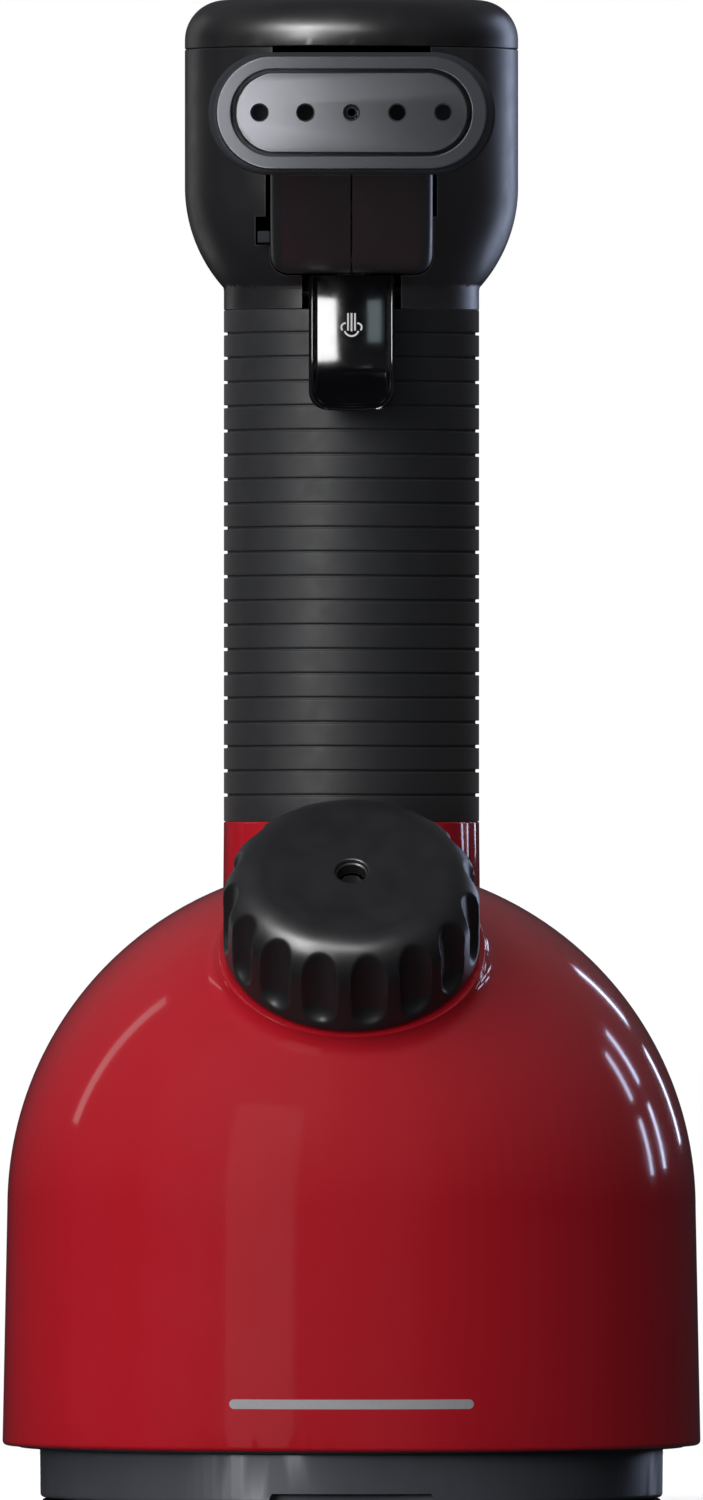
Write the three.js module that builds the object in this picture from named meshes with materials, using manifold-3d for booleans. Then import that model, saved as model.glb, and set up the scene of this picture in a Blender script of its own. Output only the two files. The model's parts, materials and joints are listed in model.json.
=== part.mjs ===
// A handheld garment steamer: a domed boiler body with a tilted screw cap in front, an upright
// ribbed grip, and a drum-shaped head that carries a trigger and a wide steam nozzle.
// Millimetres, +Z up, the nozzle faces -Y. The origin is the centre of the underside of the base.
import * as THREE from 'three';
import { mergeVertices } from 'three/addons/utils/BufferGeometryUtils.js';
import Module from 'manifold-3d';

const wasm = await Module();
wasm.setup();

// ---- Driving dimensions ------------------------------------------------------------------------

const GAP = 0.3; // clearance between pieces that rest on each other
const ROUND = 40; // facets round the dome and the base
const MIDDLE = 28; // facets round the handle, the head and the boiler
const SMALL = 10; // facets round pins, screws and bores

// Base and dome
const PAD_R = 58.7;
const PAD_TOP = 1.8;
const BASE_R = 59.2;
const BASE_BOTTOM = PAD_TOP + GAP;
const STEP_R = 63.2;
const STEP_Z = 11.6;
const STEP_TOP = 14.4;
const FLOOR_TOP = 4.6;
const DOME_R = 65.4;
const DOME_Z = 57.2; // height of the dome's centre
const SKIRT_R = 66.3;
const SKIRT_Z = 12;
const WALL = 2.6;
const POST_R = 4;
const POST_TOP = 40;
const POST_RING = 51.8; // radius of the circle of screw posts
const CORNERS = [45, 135, 225, 315]; // directions of the posts and screws, degrees
const STAND_R = 2.8;
const STAND_RING = 32; // radius of the circle of stands under the boiler
const GLAND_Z = 22;
const GLAND_R = 7.5;
const GLAND_BORE = 3.6;
const INLET_R = 6;

// Boiler
const BOILER_R = 45.5;
const BOILER_WALL = 1.5;
const BOILER_BOTTOM = 24;
const BOILER_SPLIT = 56; // underside of the lower flange
const BOILER_TOP = 97.2;
const FLANGE_R = 52;
const FLANGE_T = 1.8;
const GASKET_T = 1;

// Filler cap, on an axis that leans forward
const CAP_TILT = THREE.MathUtils.degToRad(43);
const CAP_BASE = new THREE.Vector3(0, -41.1, 107.1); // centre of the cap's lower rim
const CAP_R = 24.2;
const CAP_H = 19.4;
const CAP_FILLET = 7.5;
const CAP_CAVITY_R = 21.3;
const CAP_CEILING = 16.2; // underside of the cap's top
const CAP_HOLE_R = 2.75;
const FLUTES = 16;
const FLUTE_WIDTH = 6;
const FLUTE_DEPTH = 1.6;
const FLUTE_PHASE = 7.9; // degrees
const FLUTE_FOOT = 2.4; // lower end of a flute above the rim
const SEAT_R = 25.3;
const SEAT_LEVEL = -0.5; // flat of the dome's cap seat
const NECK_R = 13.5;
const NECK_BORE = 10.4;
const NECK_TOP = 9;
const PLUG_R = 9.9;
const PLUG_BOTTOM = -9;
const PLUG_SHOULDER = 12.6;
const PLUG_COLLAR_R = 13;

// Handle
const HANDLE_Y = 12;
const HANDLE_R = 24.3;
const COLLAR_TOP = 130.4;
const GRIP_TOP = 227.4;
const CORE_R = 21.7;
const CORE_BORE = 19.2;
const CORE_BOTTOM = 102;
const PIPE_Y = 14;
const PIPE_R = 3.5;
const PIPE_BORE = 2.3;
const STEAM_PORT_R = 1.5; // the outlet drilled in the boiler's nipple
const HANDLE_SCREWS = [{ x: 12, z: 150 }, { x: -12, z: 195 }];
const HANDLE_BOSS_R = 3.6;
const HANDLE_SCREW_SEAT = 24; // y of the face under the heads of the handle screws

// Head
const HEAD_R = 31.73;
const HEAD_TOP = 277.3;
const HEAD_SHOULDER = 251.2; // where the straight wall starts to curve in
const NECK_BAND_TOP = 232;
const HEAD_WALL = 2.2;
const LID_TOP = 286.7;
const LID_FILLET = 7.6;

// Snout and nozzle
const SNOUT_W = 30.6;
const SNOUT_BOTTOM = 234.3;
const SNOUT_TOP = 275.3;
const SNOUT_FRONT = -50;
const NOZZLE_Z = 263.6;
const NOZZLE_FRONT = -76;
const FLANGE_FRONT = -66.5;
const FLANGE_SIZE = [54, 23];
const RING_SIZE = [51, 21.2];
const POCKET_BACK = -64;
const POCKET_SIZE = [46, 16.7];
const PLATE_W = 44.5;
const PLATE_H = 15.1;
const HOLE_PITCH = 8.63;

// Trigger and valve
const PIVOT = { y: -3, z: 231 };
const PIN_BORE = 1.8;
const TRIGGER_W = 16.2;
const TRIGGER_BOTTOM = 208.2;
const STEM_Z = 222.5;

// ---- Shape helpers -----------------------------------------------------------------------------

const radians = THREE.MathUtils.degToRad;

// A closed geometry as a solid, with shared corners merged and empty triangles dropped.
function solid(geometry) {
  const bare = geometry.clone();
  bare.deleteAttribute('normal');
  bare.deleteAttribute('uv');
  const merged = mergeVertices(bare, 1e-4);
  const index = Array.from(merged.index.array);
  const kept = [];
  for (let i = 0; i < index.length; i += 3) {
    const [a, b, c] = index.slice(i, i + 3);
    if (a !== b && b !== c && c !== a) kept.push(a, b, c);
  }
  return new wasm.Manifold(new wasm.Mesh({
    numProp: 3,
    vertProperties: new Float32Array(merged.attributes.position.array),
    triVerts: new Uint32Array(kept),
  }));
}

function geometryOf(body) {
  const mesh = body.getMesh();
  const geometry = new THREE.BufferGeometry();
  geometry.setAttribute('position', new THREE.BufferAttribute(mesh.vertProperties, 3));
  geometry.setIndex(new THREE.BufferAttribute(mesh.triVerts, 1));
  return geometry;
}

function join(...pieces) {
  return geometryOf(pieces.map(solid).reduce((sum, piece) => sum.add(piece)));
}

function cut(piece, ...tools) {
  return geometryOf(tools.map(solid).reduce((rest, tool) => rest.subtract(tool), solid(piece)));
}

function common(a, b) {
  return geometryOf(solid(a).intersect(solid(b)));
}

// Turns a profile of [radius, height] pairs, listed anticlockwise, about the Z axis.
function revolve(profile, segments = ROUND) {
  const points = profile.map(([r, z]) => new THREE.Vector2(r, z));
  if (profile[0][0] > 0) points.push(points[0].clone());
  return new THREE.LatheGeometry(points, segments).rotateX(Math.PI / 2);
}

function arc(centreR, centreZ, radius, from, to, steps) {
  return Array.from({ length: steps + 1 }, (_, i) => {
    const angle = radians(from + ((to - from) * i) / steps);
    return [centreR + radius * Math.cos(angle), centreZ + radius * Math.sin(angle)];
  });
}

function rod(radius, bottom, top, segments = SMALL) {
  return revolve([[0, bottom], [radius, bottom], [radius, top], [0, top]], segments);
}

function ring(outer, inner, bottom, top, segments = ROUND) {
  return revolve([[inner, bottom], [outer, bottom], [outer, top], [inner, top]], segments);
}

// Rods and rings laid along the Y axis, from the front y to the back y.
function alongY(geometry, x, z) {
  return geometry.rotateX(-Math.PI / 2).translate(x, 0, z);
}

function alongX(geometry, y, z) {
  return geometry.rotateY(Math.PI / 2).translate(0, y, z);
}

function block(x, y, z) {
  const size = [x, y, z].map(([low, high]) => high - low);
  const centre = [x, y, z].map(([low, high]) => (high + low) / 2);
  return new THREE.BoxGeometry(...size).translate(...centre);
}

function outline(points) {
  return new THREE.Shape(points.map(([u, v]) => new THREE.Vector2(u, v)));
}

function extrude(shape, depth) {
  return new THREE.ExtrudeGeometry(shape, { depth, curveSegments: 4, bevelEnabled: false });
}

// A shape drawn in the X-Z plane, swept from the back y forwards to the front y.
function frontPrism(shape, front, back) {
  return extrude(shape, back - front).rotateX(Math.PI / 2).translate(0, back, 0);
}

// A shape drawn in the Y-Z plane, swept across X.
function sidePrism(shape, left, right) {
  const turn = new THREE.Matrix4().makeBasis(
    new THREE.Vector3(0, 1, 0), new THREE.Vector3(0, 0, 1), new THREE.Vector3(1, 0, 0));
  return extrude(shape, right - left).applyMatrix4(turn).translate(left, 0, 0);
}

function stadium(width, height, centreZ) {
  const radius = height / 2;
  const reach = width / 2 - radius;
  const shape = new THREE.Shape();
  shape.absarc(reach, centreZ, radius, -Math.PI / 2, Math.PI / 2);
  shape.absarc(-reach, centreZ, radius, Math.PI / 2, (3 * Math.PI) / 2);
  return shape;
}

// A stadium at the nozzle's height that changes size from its front end to its back end.
function flared(front, back, [frontWidth, frontHeight], [backWidth, backHeight]) {
  const geometry = frontPrism(stadium(frontWidth, frontHeight, 0), front, back);
  const position = geometry.attributes.position;
  for (let i = 0; i < position.count; i += 1) {
    if (position.getY(i) < (front + back) / 2) continue;
    position.setX(i, position.getX(i) * (backWidth / frontWidth));
    position.setZ(i, position.getZ(i) * (backHeight / frontHeight));
  }
  return geometry.translate(0, 0, NOZZLE_Z);
}

// A rectangle in the X-Z plane with its two lower corners rounded.
function roundedFoot(width, bottom, top, radius) {
  const half = width / 2;
  const shape = new THREE.Shape();
  shape.absarc(half - radius, bottom + radius, radius, -Math.PI / 2, 0);
  shape.lineTo(half, top);
  shape.lineTo(-half, top);
  shape.absarc(radius - half, bottom + radius, radius, Math.PI, (3 * Math.PI) / 2);
  return shape;
}

// A round bar that follows a path. An arc is drawn with two facets for each curve segment.
function bar(path, radius, steps, sides = 8) {
  const section = new THREE.Shape();
  section.absarc(0, 0, radius, 0, 2 * Math.PI);
  return new THREE.ExtrudeGeometry(section, { steps, extrudePath: path, curveSegments: sides / 2 });
}

function smoothPath(points) {
  return new THREE.CatmullRomCurve3(points.map(([x, y, z]) => new THREE.Vector3(x, y, z)));
}

// The centre line of a coil spring that stands on the Z axis.
class Coil extends THREE.Curve {
  constructor(radius, bottom, top, turns) {
    super();
    Object.assign(this, { radius, bottom, top, turns });
  }

  getPoint(t, target = new THREE.Vector3()) {
    const angle = 2 * Math.PI * this.turns * t;
    const height = this.bottom + (this.top - this.bottom) * t;
    return target.set(this.radius * Math.cos(angle), this.radius * Math.sin(angle), height);
  }
}

function spring(radius, wire, bottom, top, turns) {
  const path = new Coil(radius, bottom + wire, top - wire, turns);
  return bar(path, wire, turns * 8, 6);
}

// A screw with its head at the top and its tip at the bottom.
function screw(headR, shankR, tip, headBottom, headTop) {
  return revolve([
    [0, tip], [shankR, tip], [shankR, headBottom], [headR, headBottom], [headR, headTop], [0, headTop],
  ], 8);
}

function onCorner(geometry, radius, degrees) {
  const angle = radians(degrees);
  return geometry.translate(radius * Math.cos(angle), radius * Math.sin(angle), 0);
}

// From the cap's own frame, where its lower rim is at z = 0 and its axis is Z, to the object's.
function intoCapFrame(geometry) {
  return geometry.rotateX(CAP_TILT).translate(CAP_BASE.x, CAP_BASE.y, CAP_BASE.z);
}

// ---- Finishes ----------------------------------------------------------------------------------

const finishes = {
  red: { color: 0xa5202c, roughness: 0.12, metalness: 0 },
  black: { color: 0x26272b, roughness: 0.3, metalness: 0 },
  gloss: { color: 0x0c0c0e, roughness: 0.06, metalness: 0 },
  grip: { color: 0x303034, roughness: 0.75, metalness: 0 },
  grey: { color: 0x55575d, roughness: 0.4, metalness: 0.1 },
  silver: { color: 0x8f8f96, roughness: 0.35, metalness: 0.7 },
  rubber: { color: 0x1d1d1f, roughness: 0.9, metalness: 0 },
  steel: { color: 0xb9bcc0, roughness: 0.3, metalness: 1 },
  aluminium: { color: 0xc9cacc, roughness: 0.45, metalness: 1 },
  brass: { color: 0xb89a52, roughness: 0.35, metalness: 1 },
  natural: { color: 0xd9d4c4, roughness: 0.6, metalness: 0 },
};

function part(name, geometry, finish) {
  const material = new THREE.MeshStandardMaterial(finishes[finish]);
  const mesh = new THREE.Mesh(geometry, material);
  mesh.name = name;
  return mesh;
}

// ---- Base --------------------------------------------------------------------------------------

const BASE_SCREW_BORE = 1.9;
const HEAD_RECESS = 1.5;

function footPad() {
  return revolve([[0, 0], [PAD_R - 0.7, 0], [PAD_R, 0.7], [PAD_R, PAD_TOP], [0, PAD_TOP]]);
}

// A stepped ring with a floor. Its upper flange fits inside the skirt of the dome.
function baseTray() {
  const inner = 56.4;
  let tray = revolve([
    [0, BASE_BOTTOM], [BASE_R - 0.8, BASE_BOTTOM], [BASE_R - 0.1, BASE_BOTTOM + 0.8], [BASE_R, STEP_Z],
    [STEP_R, STEP_Z], [STEP_R, STEP_TOP], [inner, STEP_TOP], [inner, FLOOR_TOP], [0, FLOOR_TOP],
  ]);
  const boilerStands = [30, 150, 270].map((angle) => (
    onCorner(rod(STAND_R, BASE_BOTTOM + 1, BOILER_BOTTOM - GAP, 8), STAND_RING, angle)));
  const notch = outline([[-16.5, 1], [16.5, 1], [15, 4], [-15, 4]]);
  const bores = CORNERS.flatMap((angle) => [
    onCorner(rod(BASE_SCREW_BORE, 1, 6, 8), POST_RING, angle),
    onCorner(rod(3.5, 1, BASE_BOTTOM + HEAD_RECESS, 8), POST_RING, angle),
  ]);
  tray = join(tray, ...boilerStands);
  return cut(tray, frontPrism(notch, -62, -54), ...bores);
}

// Each head is sunk in the underside of the floor, above the pad.
function baseScrew(angle) {
  const head = BASE_BOTTOM + 0.1;
  const seat = BASE_BOTTOM + HEAD_RECESS - GAP;
  return onCorner(revolve([
    [0, head], [3.1, head], [3.1, seat], [1.4, seat], [1.4, 20], [0, 20],
  ], 8), POST_RING, angle);
}

// ---- Dome --------------------------------------------------------------------------------------

function domeSolid(radius, skirt, bottom, steps) {
  return revolve([
    [0, bottom], [skirt, bottom], ...arc(0, DOME_Z, radius, 0, 90, steps).slice(0, -1),
    [0, DOME_Z + radius],
  ]);
}

function screwPosts() {
  return CORNERS.flatMap((angle) => {
    const post = onCorner(rod(POST_R, FLOOR_TOP + GAP, POST_TOP, 8), POST_RING, angle);
    const web = block([54, 64.3], [-1.2, 1.2], [STEP_TOP + 0.6, POST_TOP]).rotateZ(radians(angle));
    return [post, web];
  });
}

function bodyShell() {
  const outer = join(
    domeSolid(DOME_R, SKIRT_R, SKIRT_Z, 10),
    rod(HANDLE_R, 90, COLLAR_TOP, MIDDLE).translate(0, HANDLE_Y, 0),
    intoCapFrame(rod(SEAT_R, -14, SEAT_LEVEL, ROUND)));
  const hollow = domeSolid(DOME_R - WALL, SKIRT_R - WALL, SKIRT_Z - 1, 7);
  const capRoom = intoCapFrame(rod(SEAT_R + 0.7, SEAT_LEVEL, 14, ROUND));
  const neckBore = intoCapFrame(rod(NECK_R + 0.5, -30, 2, 24));
  const collarBore = rod(CORE_R + GAP, 88, COLLAR_TOP + 1, MIDDLE).translate(0, HANDLE_Y, 0);
  const inletBore = alongY(rod(INLET_R, 50, 70), 0, GLAND_Z);
  const skin = cut(outer, hollow, capRoom, neckBore, collarBore, inletBore);
  const screwBores = CORNERS.map((angle) => onCorner(rod(1.7, 2, 22, 8), POST_RING, angle));
  return cut(join(skin, ...screwPosts()), ...screwBores);
}

function cordGland() {
  const bush = revolve([
    [GLAND_BORE, 58], [GLAND_R, 58], [GLAND_R, 61], [INLET_R - GAP, 61], [INLET_R - GAP, 66.6],
    [GLAND_R, 66.6], [6.4, 69], [GLAND_BORE, 69],
  ], 16);
  return alongY(bush, 0, GLAND_Z);
}

// ---- Boiler ------------------------------------------------------------------------------------

const UPPER_BOTTOM = BOILER_SPLIT + FLANGE_T + GASKET_T + 2 * GAP;
const BOILER_BOLT_RING = 48.9;

function boltBores(radius) {
  return CORNERS.map((angle) => (
    onCorner(rod(radius, BOILER_SPLIT - 1, UPPER_BOTTOM + 4, 8), BOILER_BOLT_RING, angle + 45)));
}

function boilerLower() {
  const corner = 10;
  const inside = BOILER_R - BOILER_WALL;
  const cup = revolve([
    [0, BOILER_BOTTOM],
    ...arc(BOILER_R - corner, BOILER_BOTTOM + corner, corner, -90, 0, 2),
    [BOILER_R, BOILER_SPLIT], [FLANGE_R, BOILER_SPLIT], [FLANGE_R, BOILER_SPLIT + FLANGE_T],
    [inside, BOILER_SPLIT + FLANGE_T],
    ...arc(BOILER_R - corner, BOILER_BOTTOM + corner, corner - BOILER_WALL, 0, -90, 2),
    [0, BOILER_BOTTOM + BOILER_WALL],
  ], MIDDLE);
  return cut(cup, ...boltBores(1.7));
}

function boilerGasket() {
  const bottom = BOILER_SPLIT + FLANGE_T + GAP;
  return cut(ring(FLANGE_R, BOILER_R - 1, bottom, bottom + GASKET_T, MIDDLE), ...boltBores(1.8));
}

function squashedDome(radius, height) {
  const points = arc(0, 0, 1, 0, 90, 5).map(([r, z]) => [r * radius, UPPER_BOTTOM + z * height]);
  return [...points.slice(0, -1), [0, UPPER_BOTTOM + height]];
}

function upperWaterRoom() {
  const inside = BOILER_R - BOILER_WALL;
  const rise = BOILER_TOP - UPPER_BOTTOM - BOILER_WALL;
  return revolve([[0, UPPER_BOTTOM - 1], [inside, UPPER_BOTTOM - 1], ...squashedDome(inside, rise)], MIDDLE);
}

function boilerUpper() {
  const rise = BOILER_TOP - UPPER_BOTTOM;
  const skin = revolve([[0, UPPER_BOTTOM], ...squashedDome(BOILER_R, rise)], MIDDLE);
  const flange = rod(FLANGE_R, UPPER_BOTTOM, UPPER_BOTTOM + FLANGE_T, MIDDLE);
  const nipple = rod(5.5, 85, 103).translate(0, PIPE_Y, 0);
  const neckHole = intoCapFrame(rod(NECK_R + GAP, -40, 0, 24));
  const steamPort = rod(STEAM_PORT_R, 70, 104).translate(0, PIPE_Y, 0);
  return cut(join(skin, flange, nipple), upperWaterRoom(), neckHole, steamPort, ...boltBores(1.7));
}

// The filler neck is brazed into the boiler and ends flush with the inside of its wall.
function fillerNeck() {
  return cut(intoCapFrame(ring(NECK_R, NECK_BORE, -34, NECK_TOP, 24)), upperWaterRoom());
}

function boilerScrew(angle) {
  const top = UPPER_BOTTOM + FLANGE_T + GAP;
  return onCorner(screw(2.8, 1.4, BOILER_SPLIT - 3, top, top + 2), BOILER_BOLT_RING, angle + 45);
}

// A sheathed element bent into an open ring under the boiler, with both ends turned down.
function heatingElement() {
  const radius = 24;
  const level = BOILER_BOTTOM - GAP - 3.4;
  const points = [[radius - 4, 6, 12]];
  for (let angle = 20; angle <= 340; angle += 32) {
    points.push([radius * Math.cos(radians(angle)), radius * Math.sin(radians(angle)), level]);
  }
  points.push([radius - 4, -6, 12]);
  return bar(smoothPath(points), 2.8, 26);
}

function thermostat() {
  const top = BOILER_BOTTOM - GAP;
  const can = revolve([[0, top - 7], [5, top - 7], [8, top - 5], [8, top], [0, top]], 16);
  const tabs = [-4, 4].map((y) => block([-0.4, 0.4], [y - 1.5, y + 1.5], [top - 12, top - 5]));
  return join(can, ...tabs);
}

function thermalFuse() {
  return alongY(rod(1.9, -5, 5, 8), 13.5, BOILER_BOTTOM - GAP - 2);
}

function terminalBlock() {
  const body = block([-11, 11], [36, 46], [FLOOR_TOP + GAP, 15]);
  const bores = [-7, 0, 7].map((x) => block([x - 1.8, x + 1.8], [33, 42], [8, 12]));
  return cut(body, ...bores);
}

function lead(points) {
  return bar(smoothPath(points), 1.1, 10, 6);
}

// ---- Filler cap, in its own frame --------------------------------------------------------------

// The centre of each flute's round cutter lies outside the cap, so that the cutter takes a
// shallow groove of the stated width and depth.
function flute(index) {
  const radius = ((FLUTE_WIDTH / 2) ** 2 + FLUTE_DEPTH ** 2) / (2 * FLUTE_DEPTH);
  const length = 20;
  const roundEnd = radius * 0.75; // how much of the cutter's round end reaches into the cap
  const cutter = new THREE.CapsuleGeometry(radius, length, 2, 10).rotateX(Math.PI / 2);
  cutter.translate(0, -(CAP_R - FLUTE_DEPTH + radius), FLUTE_FOOT + roundEnd + length / 2);
  return cutter.rotateZ(radians(FLUTE_PHASE + (360 / FLUTES) * index));
}

function capKnob() {
  const shoulder = CAP_R - CAP_FILLET;
  const outer = revolve([
    [0, GAP], [CAP_R - 0.6, GAP], [CAP_R, GAP + 0.6],
    ...arc(shoulder, CAP_H - CAP_FILLET, CAP_FILLET, 0, 90, 5), [0, CAP_H],
  ]);
  const flutes = Array.from({ length: FLUTES }, (_, index) => flute(index));
  const cavity = rod(CAP_CAVITY_R, -1, CAP_CEILING, MIDDLE);
  const pinHole = revolve([
    [0, CAP_CEILING - 1], [CAP_HOLE_R, CAP_CEILING - 1], [CAP_HOLE_R, CAP_H - 0.4],
    [CAP_HOLE_R + 0.8, CAP_H + 0.4], [0, CAP_H + 0.4],
  ], 16);
  return cut(outer, ...flutes, cavity, pinHole);
}

function capPlug() {
  return revolve([
    [1.5, PLUG_BOTTOM], [PLUG_R - 0.7, PLUG_BOTTOM], [PLUG_R, PLUG_BOTTOM + 0.7], [PLUG_R, PLUG_SHOULDER],
    [PLUG_COLLAR_R, PLUG_SHOULDER], [PLUG_COLLAR_R, CAP_CEILING - GAP], [3.3, CAP_CEILING - GAP],
    [3.3, -5], [1.5, -5],
  ], 24);
}

function capSeal() {
  return ring(PLUG_COLLAR_R, PLUG_R + 0.5, NECK_TOP + GAP, PLUG_SHOULDER - GAP, 24);
}

function reliefSeat() {
  return ring(3, 1.5, -4.7, -3.7, SMALL);
}

function reliefValvePin() {
  return revolve([
    [0, -3.4], [2.6, -3.4], [2.6, -1.6], [1, -1.6], [1, 15], [2.4, 15], [2.4, 16], [2, 16.4], [0, 16.4],
  ], SMALL);
}

function reliefRetainer() {
  return ring(3, 1.3, 12, 13.4, SMALL);
}

// ---- Handle ------------------------------------------------------------------------------------

function handleTube() {
  const tube = ring(CORE_R, CORE_BORE, CORE_BOTTOM, GRIP_TOP - 0.6, MIDDLE).translate(0, HANDLE_Y, 0);
  const envelope = rod(CORE_R - 1, CORE_BOTTOM, GRIP_TOP - 1, MIDDLE).translate(0, HANDLE_Y, 0);
  const bosses = HANDLE_SCREWS.map(({ x, z }) => (
    common(alongY(rod(HANDLE_BOSS_R, -8, 32, SMALL), x, z), envelope)));
  return join(tube, ...bosses);
}

// The tube is split front and back, and each screw goes in from the back.
function handleCore(side) {
  const half = side === 'front'
    ? block([-30, 30], [-20, HANDLE_Y - GAP / 2], [90, 240])
    : block([-30, 30], [HANDLE_Y + GAP / 2, 40], [90, 240]);
  const tools = HANDLE_SCREWS.flatMap(({ x, z }) => [
    alongY(rod(1.7, 0, 40, 8), x, z),
    alongY(rod(3.1, HANDLE_SCREW_SEAT, 40, SMALL), x, z),
  ]);
  return cut(common(handleTube(), half), ...tools);
}

function handleScrew({ x, z }) {
  const headBottom = HANDLE_SCREW_SEAT + GAP;
  return alongY(screw(2.7, 1.4, 1, headBottom, headBottom + 2.2), x, z);
}

function gripSleeve() {
  return ring(HANDLE_R, CORE_R + GAP, COLLAR_TOP + GAP, GRIP_TOP, MIDDLE).translate(0, HANDLE_Y, 0);
}

function steamPipe() {
  return ring(PIPE_R, PIPE_BORE, 103.3, 212.7, SMALL).translate(0, PIPE_Y, 0);
}

// ---- Steam valve and trigger -------------------------------------------------------------------

const STEM_FRONT = -0.7;
const STEM_R = 1.9;
const STEM_BORE = 2.3;
const STEM_TIP = 16.6;
const VALVE_FRONT = 5;

function valveBody() {
  const body = block([-8, 8], [VALVE_FRONT, 21], [213, 229]);
  const stemBore = alongY(rod(STEM_BORE, 4, STEM_TIP + 2.2), 0, STEM_Z);
  const steamBore = rod(PIPE_BORE, 212, 230).translate(0, PIPE_Y, 0);
  return cut(body, stemBore, steamBore);
}

// At rest the stem's rear land closes the steam bore. Its waist moves into the bore when pressed.
function valveStem() {
  const waist = 1.1;
  const stem = revolve([
    [0, STEM_FRONT], [1.2, STEM_FRONT], [3.4, 0], [3.4, 0.9], [STEM_R, 0.9], [STEM_R, 7], [waist, 7.6],
    [waist, 10.8], [STEM_R, 11.4], [STEM_R, STEM_TIP], [0, STEM_TIP],
  ], SMALL);
  return alongY(stem, 0, STEM_Z);
}

function valveSpring() {
  return alongY(spring(2.6, 0.35, 0.9 + GAP / 2, VALVE_FRONT - GAP / 2, 3), 0, STEM_Z);
}

// A lever on a barrel, with an arm inside the handle and a dished plate outside.
function trigger() {
  const half = TRIGGER_W / 2;
  const plateSide = outline([
    [-15, 233.9], [-18.6, 233.9], [-17.9, 229], [-17.6, 224], [-18.1, 218], [-19.8, 212.5],
    [-22.6, 208.7], [-21.8, TRIGGER_BOTTOM], [-20, TRIGGER_BOTTOM], [-17.4, 212.5], [-15.6, 218],
    [-15, 224],
  ]);
  const plate = common(
    sidePrism(plateSide, -half, half),
    frontPrism(roundedFoot(TRIGGER_W, TRIGGER_BOTTOM, 234.5, 3), -30, 0));
  const web = block([-7, 7], [-16, PIVOT.y], [229.4, 233.6]);
  const barrel = alongX(rod(3.1, -7, 7, 16), PIVOT.y, PIVOT.z);
  const arm = block([-3, 3], [-5, -1], [221, PIVOT.z]);
  const bore = alongX(rod(PIN_BORE, -10, 10), PIVOT.y, PIVOT.z);
  return cut(join(plate, web, barrel, arm), bore);
}

function triggerPin() {
  return alongX(rod(1.5, -12.7, 12.7), PIVOT.y, PIVOT.z);
}

// ---- Head --------------------------------------------------------------------------------------

const SHOULDER_R = 28.8; // radius of the curve from the drum down to the neck band
const SNOUT_SLOT = SNOUT_W / 2 + GAP;
const CATCH_WINDOW = { left: -18.2, bottom: 239.8, top: 245.2 };
const TRIGGER_WINDOW = { half: 9.4, top: 234.6 };
const SIDE_GAPS = { left: -17.2, right: 16.3, top: 262 }; // outer edges of the gaps beside the snout
const LID_GAP_HALF = 15; // half the width of the opening above the snout, under the lid
const EAR_INNER = TRIGGER_WINDOW.half + GAP;
const EAR_OUTER = 16;
const EAR_TOP = 234.2;
const SPIGOT_BORE = 16.5;
const SPIGOT_BOTTOM = 208;
const LEDGE_T = 1.8;

function headHousing() {
  const curveR = HEAD_R - SHOULDER_R;
  const down = THREE.MathUtils.radToDeg(Math.asin((HEAD_SHOULDER - NECK_BAND_TOP) / SHOULDER_R));
  const bottom = GRIP_TOP + GAP;
  const drum = revolve([
    [HANDLE_R - HEAD_WALL, bottom], [HANDLE_R, bottom],
    ...arc(curveR, HEAD_SHOULDER, SHOULDER_R, -down, 0, 4),
    [HEAD_R, HEAD_TOP], [HEAD_R - HEAD_WALL, HEAD_TOP],
    ...arc(curveR, HEAD_SHOULDER, SHOULDER_R - HEAD_WALL, 0, -down, 3),
  ], MIDDLE);
  const ledge = ring(HANDLE_R - 1, SPIGOT_BORE, bottom, bottom + LEDGE_T, MIDDLE);
  const spigot = ring(CORE_BORE - GAP, SPIGOT_BORE, SPIGOT_BOTTOM, bottom + 1, MIDDLE);
  const ears = [-1, 1].map((side) => {
    const [near, far] = [EAR_INNER * side, EAR_OUTER * side].sort((a, b) => a - b);
    return block([near, far], [-6 - HANDLE_Y, -HANDLE_Y], [bottom, EAR_TOP]);
  });
  const body = join(drum, ledge, spigot, ...ears).translate(0, HANDLE_Y, 0);
  return cut(body,
    block([-TRIGGER_WINDOW.half, TRIGGER_WINDOW.half], [-30, 0.6], [bottom - 1, TRIGGER_WINDOW.top]),
    block([-5, 5], [-12, 0.6], [200, bottom]),
    block([-SNOUT_SLOT, SNOUT_SLOT], [-40, -5], [SNOUT_BOTTOM - GAP, SNOUT_TOP + GAP]),
    block([-LID_GAP_HALF, LID_GAP_HALF], [-40, -5], [SNOUT_TOP, HEAD_TOP + 1]),
    block([SIDE_GAPS.left, SIDE_GAPS.right], [-40, -5], [CATCH_WINDOW.top - 0.1, SIDE_GAPS.top]),
    block([CATCH_WINDOW.left, 0], [-40, -5], [CATCH_WINDOW.bottom, CATCH_WINDOW.top]),
    alongX(rod(PIN_BORE, -13, 13), PIVOT.y, PIVOT.z));
}

function headLid() {
  const bottom = HEAD_TOP + 0.4;
  const flat = HEAD_R - LID_FILLET;
  const skin = revolve([
    [27, 273.5], [29.2, 273.5], [29.2, bottom], [HEAD_R, bottom],
    ...arc(flat, LID_TOP - LID_FILLET, LID_FILLET, 0, 90, 5),
    [0, LID_TOP], [0, LID_TOP - HEAD_WALL], [flat, LID_TOP - HEAD_WALL], [27, LID_TOP - 5.5],
  ], MIDDLE).translate(0, HANDLE_Y, 0);
  return cut(skin, block([-18.5, 18.5], [-30, 2], [270, bottom]));
}

// ---- Snout and nozzle --------------------------------------------------------------------------

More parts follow.
